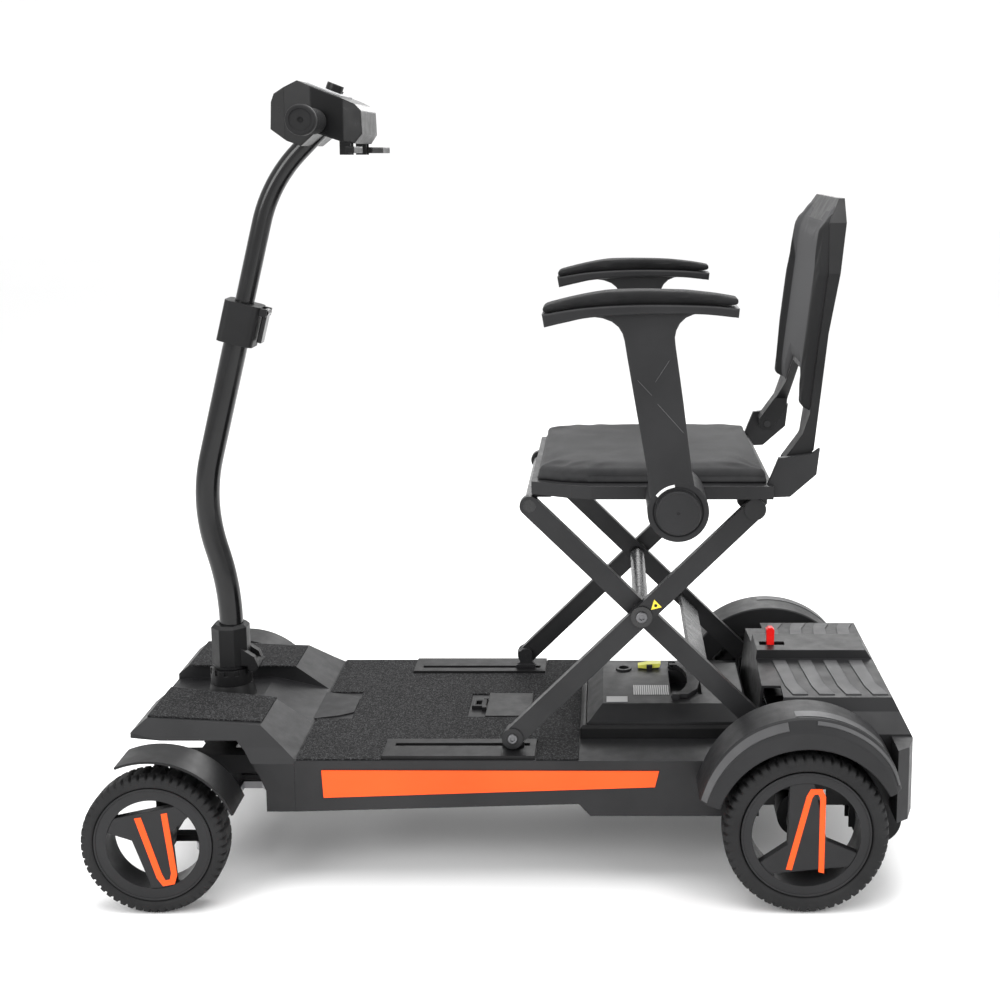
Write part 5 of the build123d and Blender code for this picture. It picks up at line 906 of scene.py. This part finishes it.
def two_sheets(name, front, back):
    """Closed mesh of a front and a back grid of the same shape, joined all round their rims."""
    rows, cols = front.shape[:2]
    index = np.arange(rows * cols).reshape(rows, cols)
    quads = np.stack([index[:-1, :-1], index[:-1, 1:], index[1:, 1:], index[1:, :-1]], -1)
    quads = quads.reshape(-1, 4)
    rim = np.concatenate([index[0, :-1], index[:-1, -1], index[-1, :0:-1], index[:0:-1, 0]])
    ahead = np.roll(rim, -1)
    walls = np.stack([rim, ahead, ahead + rows * cols, rim + rows * cols], -1)
    faces = np.concatenate([quads, quads[:, ::-1] + rows * cols, walls])
    points = np.concatenate([front.reshape(-1, 3), back.reshape(-1, 3)])
    return solid(name, points, faces.tolist())


back_form = two_sheets("back_form", back_sheet(True), back_sheet(False))
back_held = np.arange(PAD_ROWS * PAD_COLS, 2 * PAD_ROWS * PAD_COLS)
back_pad = stuffed("back_pad", back_form, 0.0, 3.0 * MM, held=back_held)
bpy.data.objects.remove(back_form)
dress(back_pad, back_cloth, "backrest", ["backrest_cushion"])


# ------------------------------------------------------------ armrests
# Moulded T-shaped arms that flip up on a drum at the seat's side. The drum has a round dial
# with a white mark, and a curved tray on top carries a thin padded rest.
arm_plastic = coating("arm_plastic", (0.012, 0.012, 0.0127), (0.018, 0.018, 0.019), (0.38, 0.5),
                      grain=1600.0, depth=0.00014, edge=0.0015)
white_mark = coating("white_mark", (0.72, 0.72, 0.72), (0.80, 0.80, 0.80), (0.4, 0.5))
arm_cloth = cloth("arm_cloth", (0.006, 0.006, 0.0064), (0.014, 0.014, 0.0145))
HUB_X, HUB_Z = 213.8 * MM, 510.0 * MM
STEM = [(236, 522), (229.7, 556), (218.8, 640), (209.4, 705), (208.6, 714), (210.2, 722),
        (214.2, 730), (221, 736.6), (230, 740.4), (241, 742), (252, 743), (252, 747), (104, 744),
        (104, 738.6), (114.6, 737.6), (126, 736), (136.5, 732), (144, 726), (148.6, 718.5),
        (151, 710), (153.6, 694), (166, 622), (178, 554), (180, 528), (196, 508), (224, 508)]
TRAY_LOW = spread_out([(59.5, 726.5), (85, 732.5), (114, 738), (172, 741.5), (236, 741.6),
                       (280.5, 737.5)], 40)
TRAY_TOP = spread_out([(57, 741.5), (100, 748.3), (150, 751.8), (200, 752.4), (250, 751),
                       (281.5, 748)], 40)
PAD_TOP = spread_out([(57, 752), (100, 762), (150, 767), (180, 767.8), (230, 765),
                      (281, 757.5)], 40)
DRUM = [(30, 180), (34, 180), (36, 181.5), (36, 267), (35, 268.4), (29.6, 268.4), (28.4, 267.2),
        (26.4, 267.2), (26.2, 268.4), (26.2, 274.6), (25.2, 275.8), (23.8, 275.8), (23.2, 275.2),
        (1.8, 275.2), (1.3, 274.2)]
SCORES = [((166.1, 665), (182.3, 647.4)), ((189.1, 637.4), (218.9, 604)),
          ((202.6, 688), (186.4, 663))]
STEM_Y, TRAY_Y, REST_Y, MARK_Y, SCORE_Y = ((240, 268), (230, 278), (232, 276), (268.2, 268.8),
                                           (267.8, 268.4))
mark_turn = np.radians(np.linspace(98, 143, 24))
mark_way = np.stack([np.cos(mark_turn), np.sin(mark_turn)], 1)
MARK = np.concatenate([mark_way * 33.0, mark_way[::-1] * 29.8])
for side, hand in SIDES:
    body = f"armrest_{hand}"
    ends = both_y(side, *STEM_Y)
    dress(plate(f"arm_stem_{hand}", np.array(STEM) * MM, *ends, edge=2.5 * MM), arm_plastic, body,
          [f"armrest_post_{hand}"])
    tray = np.concatenate([TRAY_LOW, TRAY_TOP[::-1]]) * MM
    ends = both_y(side, *TRAY_Y)
    dress(plate(f"arm_tray_{hand}", tray, *ends, edge=3.0 * MM), arm_plastic, body)
    drum = np.array(DRUM, float) * MM
    dress(lathed(f"arm_drum_{hand}", drum, HUB_X, HUB_Z, side, 96), arm_plastic, body)
    ends = both_y(side, *MARK_Y)
    dress(plate(f"arm_mark_{hand}", MARK * MM + (HUB_X, HUB_Z), *ends, edge=0.15 * MM), white_mark,
          body)
    ends = both_y(side, *SCORE_Y)
    # Pale score lines, in the same material as the painted highlight bands on the arches.
    dress(slats(f"arm_scores_{hand}", np.array(SCORES) * MM, 0.7 * MM, *ends), pale_score_and_arch_highlight, body)
    ends = both_y(side, *REST_Y)
    form = np.concatenate([TRAY_TOP + (0.0, 0.4), PAD_TOP[::-1] - (0.0, 1.5)]) * MM
    block = plate(f"pad_form_{hand}", form, *ends, edge=4.0 * MM)
    pad = stuffed(f"arm_pad_{hand}", block, 4.0 * MM, 5.0 * MM, firm=0.6)
    bpy.data.objects.remove(block)
    dress(pad, arm_cloth, body, [f"armrest_pad_{hand}"])
